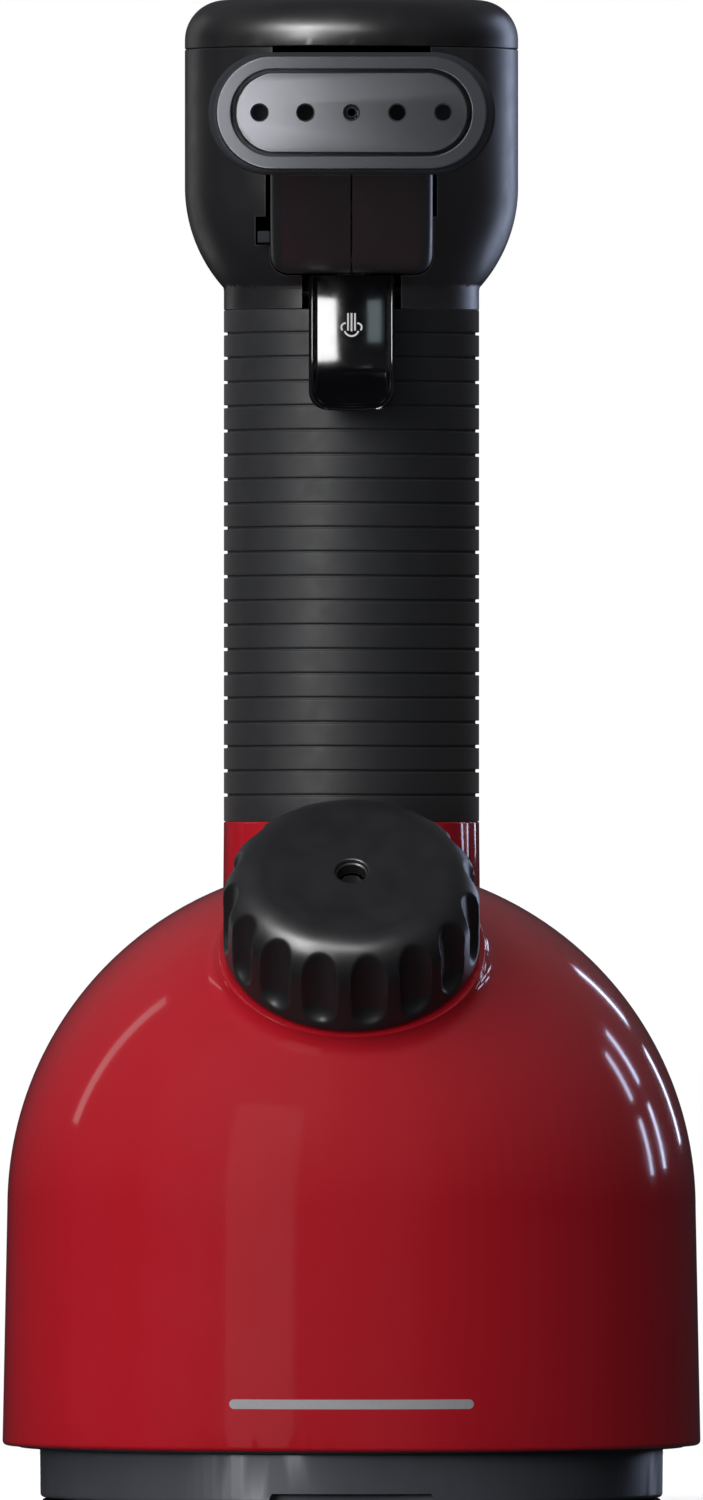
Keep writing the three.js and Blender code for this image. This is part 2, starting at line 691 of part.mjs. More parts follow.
// The snout is a hollow box whose chin slopes up to the nozzle, in a left and a right half.
function snoutShell() {
  const back = -11;
  const side = outline([
    [back, SNOUT_BOTTOM], [-27, SNOUT_BOTTOM], [-30.5, 236], [SNOUT_FRONT, 251], [SNOUT_FRONT, SNOUT_TOP],
    [back, SNOUT_TOP],
  ]);
  const half = SNOUT_W / 2;
  const face = roundedFoot(SNOUT_W, SNOUT_BOTTOM, SNOUT_TOP + 1, 3.4);
  const outer = common(sidePrism(side, -half, half), frontPrism(face, SNOUT_FRONT - 1, back + 1));
  const inside = outline([
    [back + 1, SNOUT_BOTTOM + 2], [-26.4, SNOUT_BOTTOM + 2], [-29.4, 237.8], [SNOUT_FRONT - 1, 254],
    [SNOUT_FRONT - 1, SNOUT_TOP - 2], [back + 1, SNOUT_TOP - 2],
  ]);
  return cut(outer, sidePrism(inside, 2 - half, half - 2));
}

function snoutHalf(side) {
  const keep = side === 'left'
    ? block([-40, -GAP / 2], [-60, 0], [220, 290])
    : block([GAP / 2, 40], [-60, 0], [220, 290]);
  const half = common(snoutShell(), keep);
  if (side === 'right') return half;
  const { left, bottom } = CATCH_WINDOW;
  const snapHook = block([left + 0.4, 1 - SNOUT_W / 2], [-15, -12], [bottom + GAP, bottom + 2.6]);
  return join(half, snapHook);
}

// A flange with a ring in front and a cowl that narrows to the snout behind.
function nozzleBezel() {
  const body = join(
    flared(NOZZLE_FRONT, FLANGE_FRONT, RING_SIZE, [51.8, 21.9]),
    flared(FLANGE_FRONT - 0.1, FLANGE_FRONT + 3, FLANGE_SIZE, FLANGE_SIZE),
    flared(FLANGE_FRONT + 2.9, SNOUT_FRONT - GAP, [53, 22.4], [29, 20]));
  const pocket = frontPrism(stadium(...POCKET_SIZE, NOZZLE_Z), NOZZLE_FRONT - 1, POCKET_BACK);
  const pipeBore = alongY(rod(4.2, POCKET_BACK - 1, SNOUT_FRONT + 1), 0, NOZZLE_Z);
  return cut(body, pocket, pipeBore);
}

function nozzleManifold() {
  const front = NOZZLE_FRONT + 3;
  const back = POCKET_BACK - GAP;
  const body = frontPrism(stadium(PLATE_W, PLATE_H, NOZZLE_Z), front, back);
  const chamber = frontPrism(stadium(PLATE_W - 4, PLATE_H - 4, NOZZLE_Z), front - 1, back - 2);
  return cut(body, chamber, alongY(rod(PIPE_BORE, back - 3, back + 1), 0, NOZZLE_Z));
}

function steamPlate() {
  const front = NOZZLE_FRONT + 0.6;
  const plate = frontPrism(stadium(PLATE_W, PLATE_H, NOZZLE_Z), front, front + 2);
  const holes = [-2, -1, 0, 1, 2].map((place) => {
    const radius = place === 0 ? 1.35 : 1.475;
    return alongY(rod(radius, front - 1, front + 3, SMALL), place * HOLE_PITCH, NOZZLE_Z);
  });
  return cut(plate, ...holes);
}

function centreJet() {
  const tip = NOZZLE_FRONT + 0.3;
  const tube = revolve([
    [0.72, tip], [1, tip], [1, tip + 2.8], [2.6, tip + 2.8], [2.6, tip + 4.2], [0.72, tip + 4.2],
  ], 10);
  return alongY(tube, 0, NOZZLE_Z);
}

function outletPipe() {
  const route = (start, end) => smoothPath([
    [0, PIPE_Y, start], [0, PIPE_Y, 245], [0, 10, 257], [0, 0, NOZZLE_Z - 0.6], [0, -12, NOZZLE_Z],
    [0, -30, NOZZLE_Z], [0, end, NOZZLE_Z],
  ]);
  return cut(bar(route(229.3, POCKET_BACK), PIPE_R, 18), bar(route(229, POCKET_BACK - 1), PIPE_BORE, 18));
}

// ---- Assembly ----------------------------------------------------------------------------------

const steamer = new THREE.Group();

steamer.add(
  part('rubber_foot_pad', footPad(), 'rubber'),
  part('base_tray', baseTray(), 'grey'),
  part('body_shell', bodyShell(), 'red'),
  part('cord_gland', cordGland(), 'rubber'),
  part('boiler_lower', boilerLower(), 'aluminium'),
  part('boiler_gasket', boilerGasket(), 'rubber'),
  part('boiler_upper', boilerUpper(), 'aluminium'),
  part('filler_neck', fillerNeck(), 'brass'),
  part('heating_element', heatingElement(), 'steel'),
  part('thermostat', thermostat(), 'steel'),
  part('thermal_fuse', thermalFuse(), 'steel'),
  part('terminal_block', terminalBlock(), 'natural'),
  part('heater_lead', lead([[20, 6, 9.5], [20, 12, 8.5], [12, 24, 8.5], [7, 32, 10]]), 'natural'),
  part('thermostat_lead', lead([[0, 8.5, 13], [-2, 16, 9], [-6, 24, 9], [-7, 32, 10]]), 'natural'),
);

CORNERS.forEach((angle, index) => {
  steamer.add(
    part(`base_screw_${index + 1}`, baseScrew(angle), 'steel'),
    part(`boiler_screw_${index + 1}`, boilerScrew(angle), 'steel'),
  );
});

const cap = new THREE.Group();
cap.position.copy(CAP_BASE);
cap.rotation.x = CAP_TILT;
cap.add(
  part('cap_knob', capKnob(), 'black'),
  part('cap_plug', capPlug(), 'brass'),
  part('cap_seal', capSeal(), 'rubber'),
  part('relief_seat', reliefSeat(), 'rubber'),
  part('relief_valve_pin', reliefValvePin(), 'black'),
  part('relief_spring', spring(1.9, 0.3, -1.4, 11.8, 5), 'steel'),
  part('relief_retainer', reliefRetainer(), 'brass'),
);
steamer.add(cap);

steamer.add(
  part('handle_core_front', handleCore('front'), 'black'),
  part('handle_core_rear', handleCore('rear'), 'black'),
  part('grip_sleeve', gripSleeve(), 'grip'),
  part('steam_pipe', steamPipe(), 'natural'),
  part('valve_body', valveBody(), 'brass'),
  part('valve_stem', valveStem(), 'brass'),
  part('valve_spring', valveSpring(), 'steel'),
  part('trigger', trigger(), 'gloss'),
  part('trigger_pin', triggerPin(), 'steel'),
);

HANDLE_SCREWS.forEach((place, index) => {
  steamer.add(part(`handle_screw_${index + 1}`, handleScrew(place), 'steel'));
});

steamer.add(
  part('head_housing', headHousing(), 'black'),
  part('head_lid', headLid(), 'black'),
  part('snout_left', snoutHalf('left'), 'black'),
  part('snout_right', snoutHalf('right'), 'black'),
  part('nozzle_bezel', nozzleBezel(), 'grey'),
  part('nozzle_manifold', nozzleManifold(), 'black'),
  part('steam_plate', steamPlate(), 'silver'),
  part('centre_jet', centreJet(), 'steel'),
  part('outlet_pipe', outletPipe(), 'natural'),
);

export default steamer;
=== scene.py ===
"""Looks for the handheld garment steamer, built round its CAD frame.

Units are metres, +Z is up and the nozzle faces -Y. Sizes that the frame doesn't give are written in
millimetres and turned into metres by mm().
"""

import json
import math

import bpy
import bmesh
import numpy as np
from mathutils import Matrix, Vector
from mathutils.bvhtree import BVHTree


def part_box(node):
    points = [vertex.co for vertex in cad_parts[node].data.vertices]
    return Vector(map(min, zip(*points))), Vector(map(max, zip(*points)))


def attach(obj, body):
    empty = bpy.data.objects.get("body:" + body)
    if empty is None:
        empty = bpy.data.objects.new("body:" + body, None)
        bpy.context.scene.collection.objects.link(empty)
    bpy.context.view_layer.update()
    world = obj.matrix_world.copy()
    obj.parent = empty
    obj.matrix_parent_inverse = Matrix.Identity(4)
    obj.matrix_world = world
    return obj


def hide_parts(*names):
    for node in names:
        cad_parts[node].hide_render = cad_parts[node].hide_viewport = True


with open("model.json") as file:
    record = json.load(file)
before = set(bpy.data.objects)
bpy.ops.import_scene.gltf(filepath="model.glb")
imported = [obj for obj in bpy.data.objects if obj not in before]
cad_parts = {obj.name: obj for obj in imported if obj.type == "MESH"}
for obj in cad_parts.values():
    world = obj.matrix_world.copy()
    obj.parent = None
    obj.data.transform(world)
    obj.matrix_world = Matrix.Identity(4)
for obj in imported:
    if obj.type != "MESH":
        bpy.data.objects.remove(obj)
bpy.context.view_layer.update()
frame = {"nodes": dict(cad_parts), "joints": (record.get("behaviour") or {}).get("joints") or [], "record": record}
record = frame["record"]
joints = {joint["name"]: joint for joint in frame["joints"]}


def mm(value):
    return value / 1000


# ---- Sizes read from the frame ----

shell_low, shell_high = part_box("body_shell")
pad_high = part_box("rubber_foot_pad")[1]
tray_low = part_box("base_tray")[0]
grip_low, grip_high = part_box("grip_sleeve")
house_low, house_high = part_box("head_housing")
lid_low, lid_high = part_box("head_lid")
snout_low, snout_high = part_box("snout_right")
bezel_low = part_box("nozzle_bezel")[0]
plate_low, plate_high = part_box("steam_plate")
trigger_low, trigger_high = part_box("trigger")
gland_low, gland_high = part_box("cord_gland")

SKIRT_R = shell_high.x
SKIRT_RISE = mm(7.1)
SKIRT_Z = shell_low.z + SKIRT_RISE
HANDLE_Y = (grip_low.y + grip_high.y) / 2
HANDLE_R = grip_high.x
HEAD_R = lid_high.x
CAP_AXIS = Vector(joints["cap_turn"]["axis"]).normalized()
CAP_BASE = Vector(joints["cap_turn"]["pos_m"])
GLAND_Z = (gland_low.z + gland_high.z) / 2
NOZZLE_Z = (plate_low.z + plate_high.z) / 2
TRIGGER_HALF = trigger_high.x

# ---- Sizes of the outer shapes ----

DOME_R = mm(65.4)
DOME_Z = mm(57.2)
WALL = mm(2.6)
SEAT_R = mm(25.3)
SEAT_LEVEL = mm(-0.5)
SEAT_FILLET = mm(4.2)
NECK_HOLE_R = mm(14)
CORE_HOLE_R = mm(22)
CAP_R = mm(24.2)
CAP_H = mm(19.4)
CAP_FILLET = mm(7.5)
FLUTES = 16
FLUTE_PHASE = math.radians(7.9)
TRIGGER_RIM = mm(1.25)
TRIGGER_FOOT = mm(3.6)
TRIGGER_SAG = mm(0.5)

# Radii at which a turned cutter and a turned piece stop short of their axis.
NEAR_AXIS = 0.0001
AXIS_R = mm(0.2)


# ---- Mesh helpers ----

def new_object(name, data):
    made = bpy.data.objects.new(name, data)
    bpy.context.scene.collection.objects.link(made)
    return made


def make_piece(name, vertices, faces, sharp_degrees=35):
    mesh = bpy.data.meshes.new(name)
    mesh.from_pydata([tuple(v) for v in vertices], [], faces)
    mesh.validate()
    piece = new_object(name, mesh)
    outward(piece)
    mesh.shade_smooth()
    mesh.set_sharp_from_angle(angle=math.radians(sharp_degrees))
    return piece


def outward(piece):
    """Turns every face of a closed piece to face out."""
    work = bmesh.new()
    work.from_mesh(piece.data)
    bmesh.ops.recalc_face_normals(work, faces=work.faces)
    if work.calc_volume(signed=True) < 0:
        bmesh.ops.reverse_faces(work, faces=work.faces)
    work.to_mesh(piece.data)
    work.free()


def side_faces(rows, ring=False):
    """Quads between neighbouring loops of points. A ring's last loop joins its first."""
    count = len(rows[0])
    faces = []
    for r in range(len(rows) if ring else len(rows) - 1):
        below, above = r * count, ((r + 1) % len(rows)) * count
        for c in range(count):
            after = (c + 1) % count
            faces.append((below + c, below + after, above + after, above + c))
    return faces


def skin(name, rows, ring=False, sharp_degrees=35):
    """A closed skin through loops of points. Unless it is a ring, both ends are capped."""
    count = len(rows[0])
    vertices = [point for row in rows for point in row]
    faces = side_faces(rows, ring)
    if not ring:
        faces.append(tuple(range(count)))
        faces.append(tuple(range((len(rows) - 1) * count, len(rows) * count)))
    return make_piece(name, vertices, faces, sharp_degrees)


def ease(share):
    """A share from 0 to 1 that starts and ends gently."""
    return share * share * (3 - 2 * share)


def arc(centre_u, centre_v, radius, start, end, steps):
    """Points on an arc from start to end, in degrees, with both ends."""
    angles = np.radians(np.linspace(start, end, steps + 1))
    return [(centre_u + radius * math.cos(a), centre_v + radius * math.sin(a)) for a in angles]


def rounded(profile, radii):
    """A polyline of (u, v) with each inner corner replaced by an arc of its own radius."""
    steps = 5
    points = [profile[0]]
    for before, corner, after, radius in zip(profile, profile[1:], profile[2:], radii, strict=False):
        b, p, a = (np.array(x, float) for x in (before, corner, after))
        if radius <= 0:
            points.append(tuple(p))
            continue
        to_b, to_a = (b - p) / np.linalg.norm(b - p), (a - p) / np.linalg.norm(a - p)
        half = math.acos(max(-1.0, min(1.0, float(to_b @ to_a)))) / 2
        reach = radius / math.tan(half)
        middle = to_b + to_a
        centre = p + middle / np.linalg.norm(middle) * (radius / math.sin(half))
        start, end = p + to_b * reach - centre, p + to_a * reach - centre
        sweep = math.atan2(start[0] * end[1] - start[1] * end[0], float(start @ end))
        for share in np.linspace(0, 1, steps + 1):
            c, s = math.cos(sweep * share), math.sin(sweep * share)
            turned = (start[0] * c - start[1] * s, start[0] * s + start[1] * c)
            points.append((centre[0] + turned[0], centre[1] + turned[1]))
    points.append(profile[-1])
    return points


def around(radius, angle, height):
    """The point at a radius, an angle and a height round the Z axis."""
    return Vector((radius * math.cos(angle), radius * math.sin(angle), height))


def revolve(name, profile, centre=(0, 0, 0), axis=(0, 0, 1), segments=160, ring=True, sharp_degrees=35):
    """Turns (radius, height) pairs about an axis. If ring is False, the profile starts and ends near it."""
    turn = Vector((0, 0, 1)).rotation_difference(Vector(axis)).to_matrix()
    centre = Vector(centre)
    angles = [2 * math.pi * i / segments for i in range(segments)]
    rows = [[centre + turn @ around(r, a, z) for a in angles] for r, z in profile]
    return skin(name, rows, ring, sharp_degrees)


def block(low, high, name="cutter"):
    """A box, which is a throwaway for cutting unless it is named."""
    corners = [(x, y, z) for x in (low[0], high[0]) for y in (low[1], high[1]) for z in (low[2], high[2])]
    faces = [(0, 1, 3, 2), (4, 6, 7, 5), (0, 4, 5, 1), (2, 3, 7, 6), (0, 2, 6, 4), (1, 5, 7, 3)]
    return make_piece(name, corners, faces)


def prism(outline, front, back):
    """A throwaway solid of an X-Z outline, from the front y to the back y."""
    return skin("cutter", [[(x, y, z) for x, z in outline] for y in (front, back)])


def drill(radius, low, high, centre, axis=(0, 0, 1), segments=96):
    """A throwaway cylinder for cutting."""
    profile = [(NEAR_AXIS, low), (radius, low), (radius, high), (NEAR_AXIS, high)]
    return revolve("cutter", profile, centre, axis, segments, ring=False)


def apply_modifiers(piece):
    evaluated = piece.evaluated_get(bpy.context.evaluated_depsgraph_get())
    result = bpy.data.meshes.new_from_object(evaluated)
    piece.modifiers.clear()
    piece.data = result
    return result


def soften(piece, width):
    """Rounds every sharp edge of a piece."""
    modifier = piece.modifiers.new("round", "BEVEL")
    modifier.width = width
    modifier.segments = 3
    modifier.limit_method = "ANGLE"
    modifier.angle_limit = math.radians(40)
    modifier.harden_normals = True
    apply_modifiers(piece)


def smooth_normal(tree, mesh, normals, point):
    """The smooth and the flat normal of a mesh at its point nearest to this one, and how far away that is."""
    least_distance = 1e-7
    place, flat, index, distance = tree.find_nearest(point)
    polygon = mesh.polygons[index]
    weights = [1 / max((mesh.vertices[v].co - place).length, least_distance) ** 2 for v in polygon.vertices]
    total = Vector((0, 0, 0))
    for weight, v in zip(weights, polygon.vertices, strict=True):
        total += Vector(normals[v]) * weight
    return total.normalized(), Vector(flat), distance


def boolean(piece, tools, operation="DIFFERENCE"):
    """Cuts or joins tools with a piece. Its smooth faces keep the shading that they had before."""
    touching, same_plane, same_side = 2e-6, 0.995, 0.9
    sources = []
    for source in [piece, *(tools if operation == "UNION" else [])]:
        mesh = source.data.copy()
        tree = BVHTree.FromPolygons([v.co for v in mesh.vertices], [p.vertices for p in mesh.polygons])
        sources.append((tree, mesh, [n.vector.copy() for n in mesh.vertex_normals]))
    for tool in tools:
        modifier = piece.modifiers.new("shape", "BOOLEAN")
        modifier.operation = operation
        modifier.solver = "EXACT"
        modifier.object = tool
    result = apply_modifiers(piece)
    for tool in tools:
        bpy.data.objects.remove(tool)
    result.shade_smooth()
    loop_normals = [None] * len(result.loops)
    for polygon in result.polygons:
        for loop_index in polygon.loop_indices:
            point = result.vertices[result.loops[loop_index].vertex_index].co
            chosen = polygon.normal.copy()
            for tree, mesh, normals in sources:
                normal, flat, distance = smooth_normal(tree, mesh, normals, point)
                aligned = flat.dot(polygon.normal) > same_plane and normal.dot(polygon.normal) > same_side
                if distance < touching and aligned:
                    chosen = normal
                    break
            loop_normals[loop_index] = chosen
    result.normals_split_custom_set(loop_normals)


# ---- Materials ----

def add_node(tree, kind, inputs=None, **settings):
    """A new node. Its settings are made first, then each input gets a link or a value."""
    node = tree.nodes.new(kind)
    for name, value in settings.items():
        setattr(node, name, value)
    for name, value in (inputs or {}).items():
        if isinstance(value, bpy.types.NodeSocket):
            tree.links.new(value, node.inputs[name])
        else:
            node.inputs[name].default_value = value
    return node


class Finish:
    """A procedural material round one Principled shader, with textures laid in the object's own metres."""

    def __init__(self, name, **sockets):
        self.material = bpy.data.materials.new(name)
        self.material.use_nodes = True
        self.tree = self.material.node_tree
        self.shader = self.tree.nodes["Principled BSDF"]
        self.place = self.add("ShaderNodeTexCoord").outputs["Object"]
        for socket, value in sockets.items():
            self.shader.inputs[socket.replace("_", " ")].default_value = value

    def add(self, kind, inputs=None, **settings):
        return add_node(self.tree, kind, inputs, **settings)

    def noise(self, size_mm, detail, stretch=None):
        """Noise with features of about the given size, from 0 to 1."""
        vector = self.place
        if stretch:
            vector = self.add("ShaderNodeMapping", {"Vector": vector, "Scale": stretch}).outputs["Vector"]
        values = {"Vector": vector, "Scale": 1000 / size_mm, "Detail": detail}
        return self.add("ShaderNodeTexNoise", values).outputs["Fac"]

    def between(self, factor, low, high, start=0.35, end=0.65):
        """A factor's middle range mapped onto low to high."""
        values = {"Value": factor, "From Min": start, "From Max": end, "To Min": low, "To Max": high}
        return self.add("ShaderNodeMapRange", values).outputs["Result"]

    def mix(self, factor, first, second):
        factor_in, first_in, second_in, colour_out = 0, 6, 7, 2
        inputs = {factor_in: factor, first_in: first, second_in: second}
        return self.add("ShaderNodeMix", inputs, data_type="RGBA").outputs[colour_out]

    def set(self, socket, value):
        self.tree.links.new(value, self.shader.inputs[socket])

    def bump(self, height, depth_mm, normal=None):
        inputs = {"Height": height, "Strength": 1.0, "Distance": mm(depth_mm)}
        if normal is not None:
            inputs["Normal"] = normal
        return self.add("ShaderNodeBump", inputs).outputs["Normal"]

    def edges(self, reach_mm=0.5):
        """Near 1 on corners, where the surface turns within a short reach."""
        least, full = 0.02, 0.3
        flat = self.add("ShaderNodeNewGeometry").outputs["Normal"]
        turned = self.add("ShaderNodeBevel", {"Radius": mm(reach_mm)}, samples=4).outputs["Normal"]
        dot = self.add("ShaderNodeVectorMath", {0: flat, 1: turned}, operation="DOT_PRODUCT").outputs["Value"]
        return self.between(dot, 1.0, 0.0, 1 - full, 1 - least)


def tone(red, green, blue):
    """A colour given in display values from 0 to 255."""
    shares = (red / 255, green / 255, blue / 255)
    return (*(((v + 0.055) / 1.055) ** 2.4 if v > 10 / 255 else v / 12.92 for v in shares), 1)


def red_gloss():
    f = Finish("red_gloss", IOR=1.5, Coat_Weight=0.6, Coat_Roughness=0.03, Coat_IOR=1.5)
    cloud = f.noise(38, 3)
    f.set("Base Color", f.mix(cloud, tone(168, 22, 34), tone(178, 28, 40)))
    f.set("Roughness", f.between(f.noise(9, 4), 0.09, 0.13))
    orange_peel = f.noise(5.5, 1)
    specks = f.noise(0.5, 2)
    f.set("Normal", f.bump(specks, 0.0006, f.bump(orange_peel, 0.0022)))
    return f.material


def satin_black(name, dark, light, rough):
    f = Finish(name, IOR=1.48)
    cloud = f.noise(14, 4)
    edge_highlight = f.edges()
    body = f.mix(cloud, dark, light)
    # The lighter grey on corners is a painted highlight along the edges, not real wear.
    f.set("Base Color", f.mix(edge_highlight, body, tone(66, 66, 70)))
    f.set("Roughness", f.between(f.noise(6, 5), rough - 0.03, rough + 0.05))
    f.set("Normal", f.bump(f.noise(0.22, 3), 0.006, f.bump(f.noise(11, 2), 0.004)))
    return f.material


def grip_rubber():
    f = Finish("grip_rubber", IOR=1.45, Sheen_Weight=0.12, Sheen_Roughness=0.5)
    body = f.mix(f.noise(17, 5), tone(31, 32, 34), tone(38, 39, 42))
    # The lighter grey on corners is a painted highlight along the edges, not real wear.
    f.set("Base Color", f.mix(f.edges(0.25), body, tone(62, 63, 66)))
    f.set("Roughness", f.between(f.noise(4, 5), 0.5, 0.6))
    f.set("Normal", f.bump(f.noise(0.3, 4), 0.014, f.bump(f.noise(1.6, 2), 0.008)))
    return f.material


def metal(name, dark, light, rough, brush=None):
    f = Finish(name, Metallic=1.0)
    f.set("Base Color", f.mix(f.noise(12, 4), dark, light))
    grain = f.noise(0.6, 3, brush)
    f.set("Roughness", f.between(grain, rough - 0.05, rough + 0.06))
    f.set("Normal", f.bump(grain, 0.003))
    return f.material


def plain(name, dark, light, rough, cloud, smear, grain, depth_mm, **sockets):
    """One clouded colour, smears of gloss and one fine grain. Each of the three is (size in mm, detail)."""
    f = Finish(name, **sockets)
    f.set("Base Color", f.mix(f.noise(*cloud), dark, light))
    f.set("Roughness", f.between(f.noise(*smear), *rough))
    f.set("Normal", f.bump(f.noise(*grain), depth_mm))
    return f.material


def satin_grey(name, dark, light, rough, metallic):
    spread = (rough - 0.008, rough + 0.012, 0.2, 0.8)
    return plain(name, dark, light, spread, (10, 4), (9, 2), (0.18, 3), 0.0006, IOR=1.5, Metallic=metallic)


finishes = {
    "red_shell": red_gloss(),
    "black_body": satin_black("satin_black", tone(30, 29, 31), tone(37, 36, 38), 0.34),
    "black_gloss": plain("piano_black", tone(8, 8, 10), tone(14, 14, 17), (0.11, 0.15),
                         (8, 3), (3, 5), (3.5, 1), 0.001, IOR=1.55),
    "grip_rubber": grip_rubber(),
    "grey_plastic": satin_grey("satin_grey", tone(60, 62, 67), tone(68, 70, 76), 0.3, 0.35),
    "silver_plate": satin_grey("plate_grey", tone(76, 77, 81), tone(82, 83, 87), 0.33, 0.6),
    "black_rubber": plain("dark_rubber", tone(22, 22, 23), tone(34, 34, 35), (0.68, 0.82),
                          (6, 4), (2.5, 4), (0.4, 3), 0.02, IOR=1.45),
    "steel": metal("steel", tone(168, 170, 174), tone(196, 198, 202), 0.28),
    "aluminium": metal("aluminium", tone(176, 178, 180), tone(204, 205, 207), 0.36, (1, 1, 0.1)),
    "brass": metal("brass", tone(176, 140, 74), tone(200, 166, 96), 0.26),
    "natural_plastic": plain("natural_plastic", tone(214, 205, 184), tone(226, 219, 202), (0.45, 0.6),
                             (7, 4), (2, 4), (0.5, 3), 0.01, IOR=1.5, Subsurface_Weight=0.1),
}
cap_black = satin_black("cap_black", tone(28, 28, 30), tone(35, 35, 37), 0.36)
white_print = plain("printed_white", tone(236, 237, 238), tone(250, 250, 250), (0.35, 0.5),
                    (0.4, 2), (0.5, 3), (0.2, 2), 0.002)
silver_print = plain("printed_silver", tone(205, 206, 210), tone(226, 227, 231), (0.28, 0.4),
                     (0.35, 2), (0.8, 3), (0.25, 2), 0.003, Metallic=0.55)

for row in record["subparts"]:
    node = frame["nodes"][row["node"]]
    node.data.materials.clear()
    node.data.materials.append(finishes[row["material_slot"]])
    node.data.shade_smooth()
    node.data.set_sharp_from_angle(angle=math.radians(28))


def finish_piece(piece, body, slot, *nodes, material=None):
    piece.data.materials.clear()
    piece.data.materials.append(material or finishes[slot])
    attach(piece, body)
    if nodes:
        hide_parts(*nodes)


# ---- Red dome with its collar and cap seat ----

COLUMNS = 288
CAP_TURN = Matrix.Rotation(math.acos(CAP_AXIS.z), 3, "X")
DOME_CENTRE = Vector((0, 0, DOME_Z))


def in_cap_frame(radius, angle, height):
    """A point at a radius and an angle round the cap's axis, and a height above the cap's lower rim."""
    return CAP_BASE + CAP_TURN @ around(radius, angle, height)


def section(angle, sphere_r):
    """The circle that a half-plane through the cap's axis cuts from a sphere about the dome's centre."""
    centre = CAP_TURN.transposed() @ (DOME_CENTRE - CAP_BASE)
    out = around(1, angle, 0)
    side = Vector((-math.sin(angle), math.cos(angle), 0))
    return centre.dot(out), centre.z, math.sqrt(sphere_r**2 - centre.dot(side) ** 2)


def bore_height(angle, radius, sphere_r):
    u, t, r = section(angle, sphere_r)
    return t + math.sqrt(r * r - (radius - u) ** 2)


def seat_profile(angle):
    """From the flat of the cap seat over its rim, down its wall and out along the fillet onto the dome."""
    u, t, r = section(angle, DOME_R)
    centre_u = SEAT_R + SEAT_FILLET
    centre_t = t + math.sqrt((r + SEAT_FILLET) ** 2 - (centre_u - u) ** 2)
    down = math.degrees(math.atan2(t - centre_t, u - centre_u)) % 360
    rim = mm(0.6)
    wall_top = SEAT_LEVEL - rim
    points = arc(SEAT_R - rim, wall_top, rim, 90, 0, 5)
    points += [(SEAT_R, wall_top + (centre_t - wall_top) * s) for s in (0.35, 0.7)]
    points += arc(centre_u, centre_t, SEAT_FILLET, 180, down, 14)
    return points


def over_the_sphere(start, end, radius, steps):
    """Points on a sphere about the dome's centre along the great circle from start to end."""
    a, b = (start - DOME_CENTRE).normalized(), (end - DOME_CENTRE).normalized()
    turn = math.acos(max(-1.0, min(1.0, a.dot(b))))
    points = []
    for share in np.linspace(0, 1, steps + 1):
        mixed = (a * math.sin(turn * (1 - share)) + b * math.sin(turn * share)) / math.sin(turn)
        points.append(DOME_CENTRE + mixed * radius)
    return points


def skirt(azimuth):
    """The dome's side from its widest ring to the bottom lip, and up inside to the same level."""
    lip = mm(0.9)
    inside = SKIRT_R - WALL
    outer = [(DOME_R + (SKIRT_R - DOME_R) * s, DOME_Z + (SKIRT_Z + lip - DOME_Z) * s)
             for s in np.linspace(0, 1, 13)[1:]]
    corner = arc(SKIRT_R - lip, SKIRT_Z + lip, lip, 0, -90, 6)[1:]
    inner = [(inside, SKIRT_Z), (inside, SKIRT_Z + mm(2)), (DOME_R - WALL, DOME_Z)]
    return [around(r, azimuth, z) for r, z in outer + corner + inner]


def red_column(angle):
    """One strip of the red moulding, from the seat's bore out over the dome and back underneath."""
    seat = [in_cap_frame(r, angle, t) for r, t in seat_profile(angle)]
    direction = (CAP_TURN @ around(1, angle, 0)).normalized()
    edge = seat[-1] - DOME_CENTRE
    # the great circle that leaves the seat's edge in this direction meets the dome's rim at this azimuth
    plane = edge.cross(direction)
    level = Vector((0, 0, 1)).cross(plane)
    azimuth = math.atan2(level.y, level.x)
    if around(1, azimuth, 0).dot(direction) < 0:
        azimuth += math.pi
    rim = around(1, azimuth, 0)
    dome = over_the_sphere(seat[-1], DOME_CENTRE + rim * DOME_R, DOME_R, 60)[1:]
    bore_top = [in_cap_frame(r, angle, SEAT_LEVEL) for r in (NECK_HOLE_R, SEAT_R - mm(2.5))]
    bore_foot = in_cap_frame(NECK_HOLE_R, angle, bore_height(angle, NECK_HOLE_R, DOME_R - WALL))
    ceiling = over_the_sphere(DOME_CENTRE + rim * (DOME_R - WALL), bore_foot, DOME_R - WALL, 24)[1:]
    return bore_top + seat + dome + skirt(azimuth) + ceiling


def red_shell():
    columns = [red_column(2 * math.pi * i / COLUMNS) for i in range(COLUMNS)]
    rows = [list(row) for row in zip(*columns, strict=True)]
    shell = skin("red_shell", rows, ring=True)
    collar_foot, collar_top, draft = mm(104), shell_high.z, mm(0.25)
    profile = rounded(
        [(CORE_HOLE_R, collar_foot), (HANDLE_R + draft, collar_foot), (HANDLE_R, collar_top),
         (CORE_HOLE_R, collar_top), (CORE_HOLE_R, collar_foot + mm(1))],
        [0, mm(0.35), mm(0.3)])
    collar = revolve("collar", profile, (0, HANDLE_Y, 0), segments=192)
    boolean(shell, [collar], "UNION")
    core_foot, gland_r, gland_start, gland_end = mm(96), mm(6), mm(55), mm(70)
    core_hole = drill(CORE_HOLE_R, core_foot, collar_top + mm(1), (0, HANDLE_Y, 0))
    gland_hole = drill(gland_r, gland_start, gland_end, (0, 0, GLAND_Z), (0, 1, 0), 48)
    boolean(shell, [core_hole, gland_hole])
    finish_piece(shell, "body", "red_shell", "body_shell")


# ---- Base ----

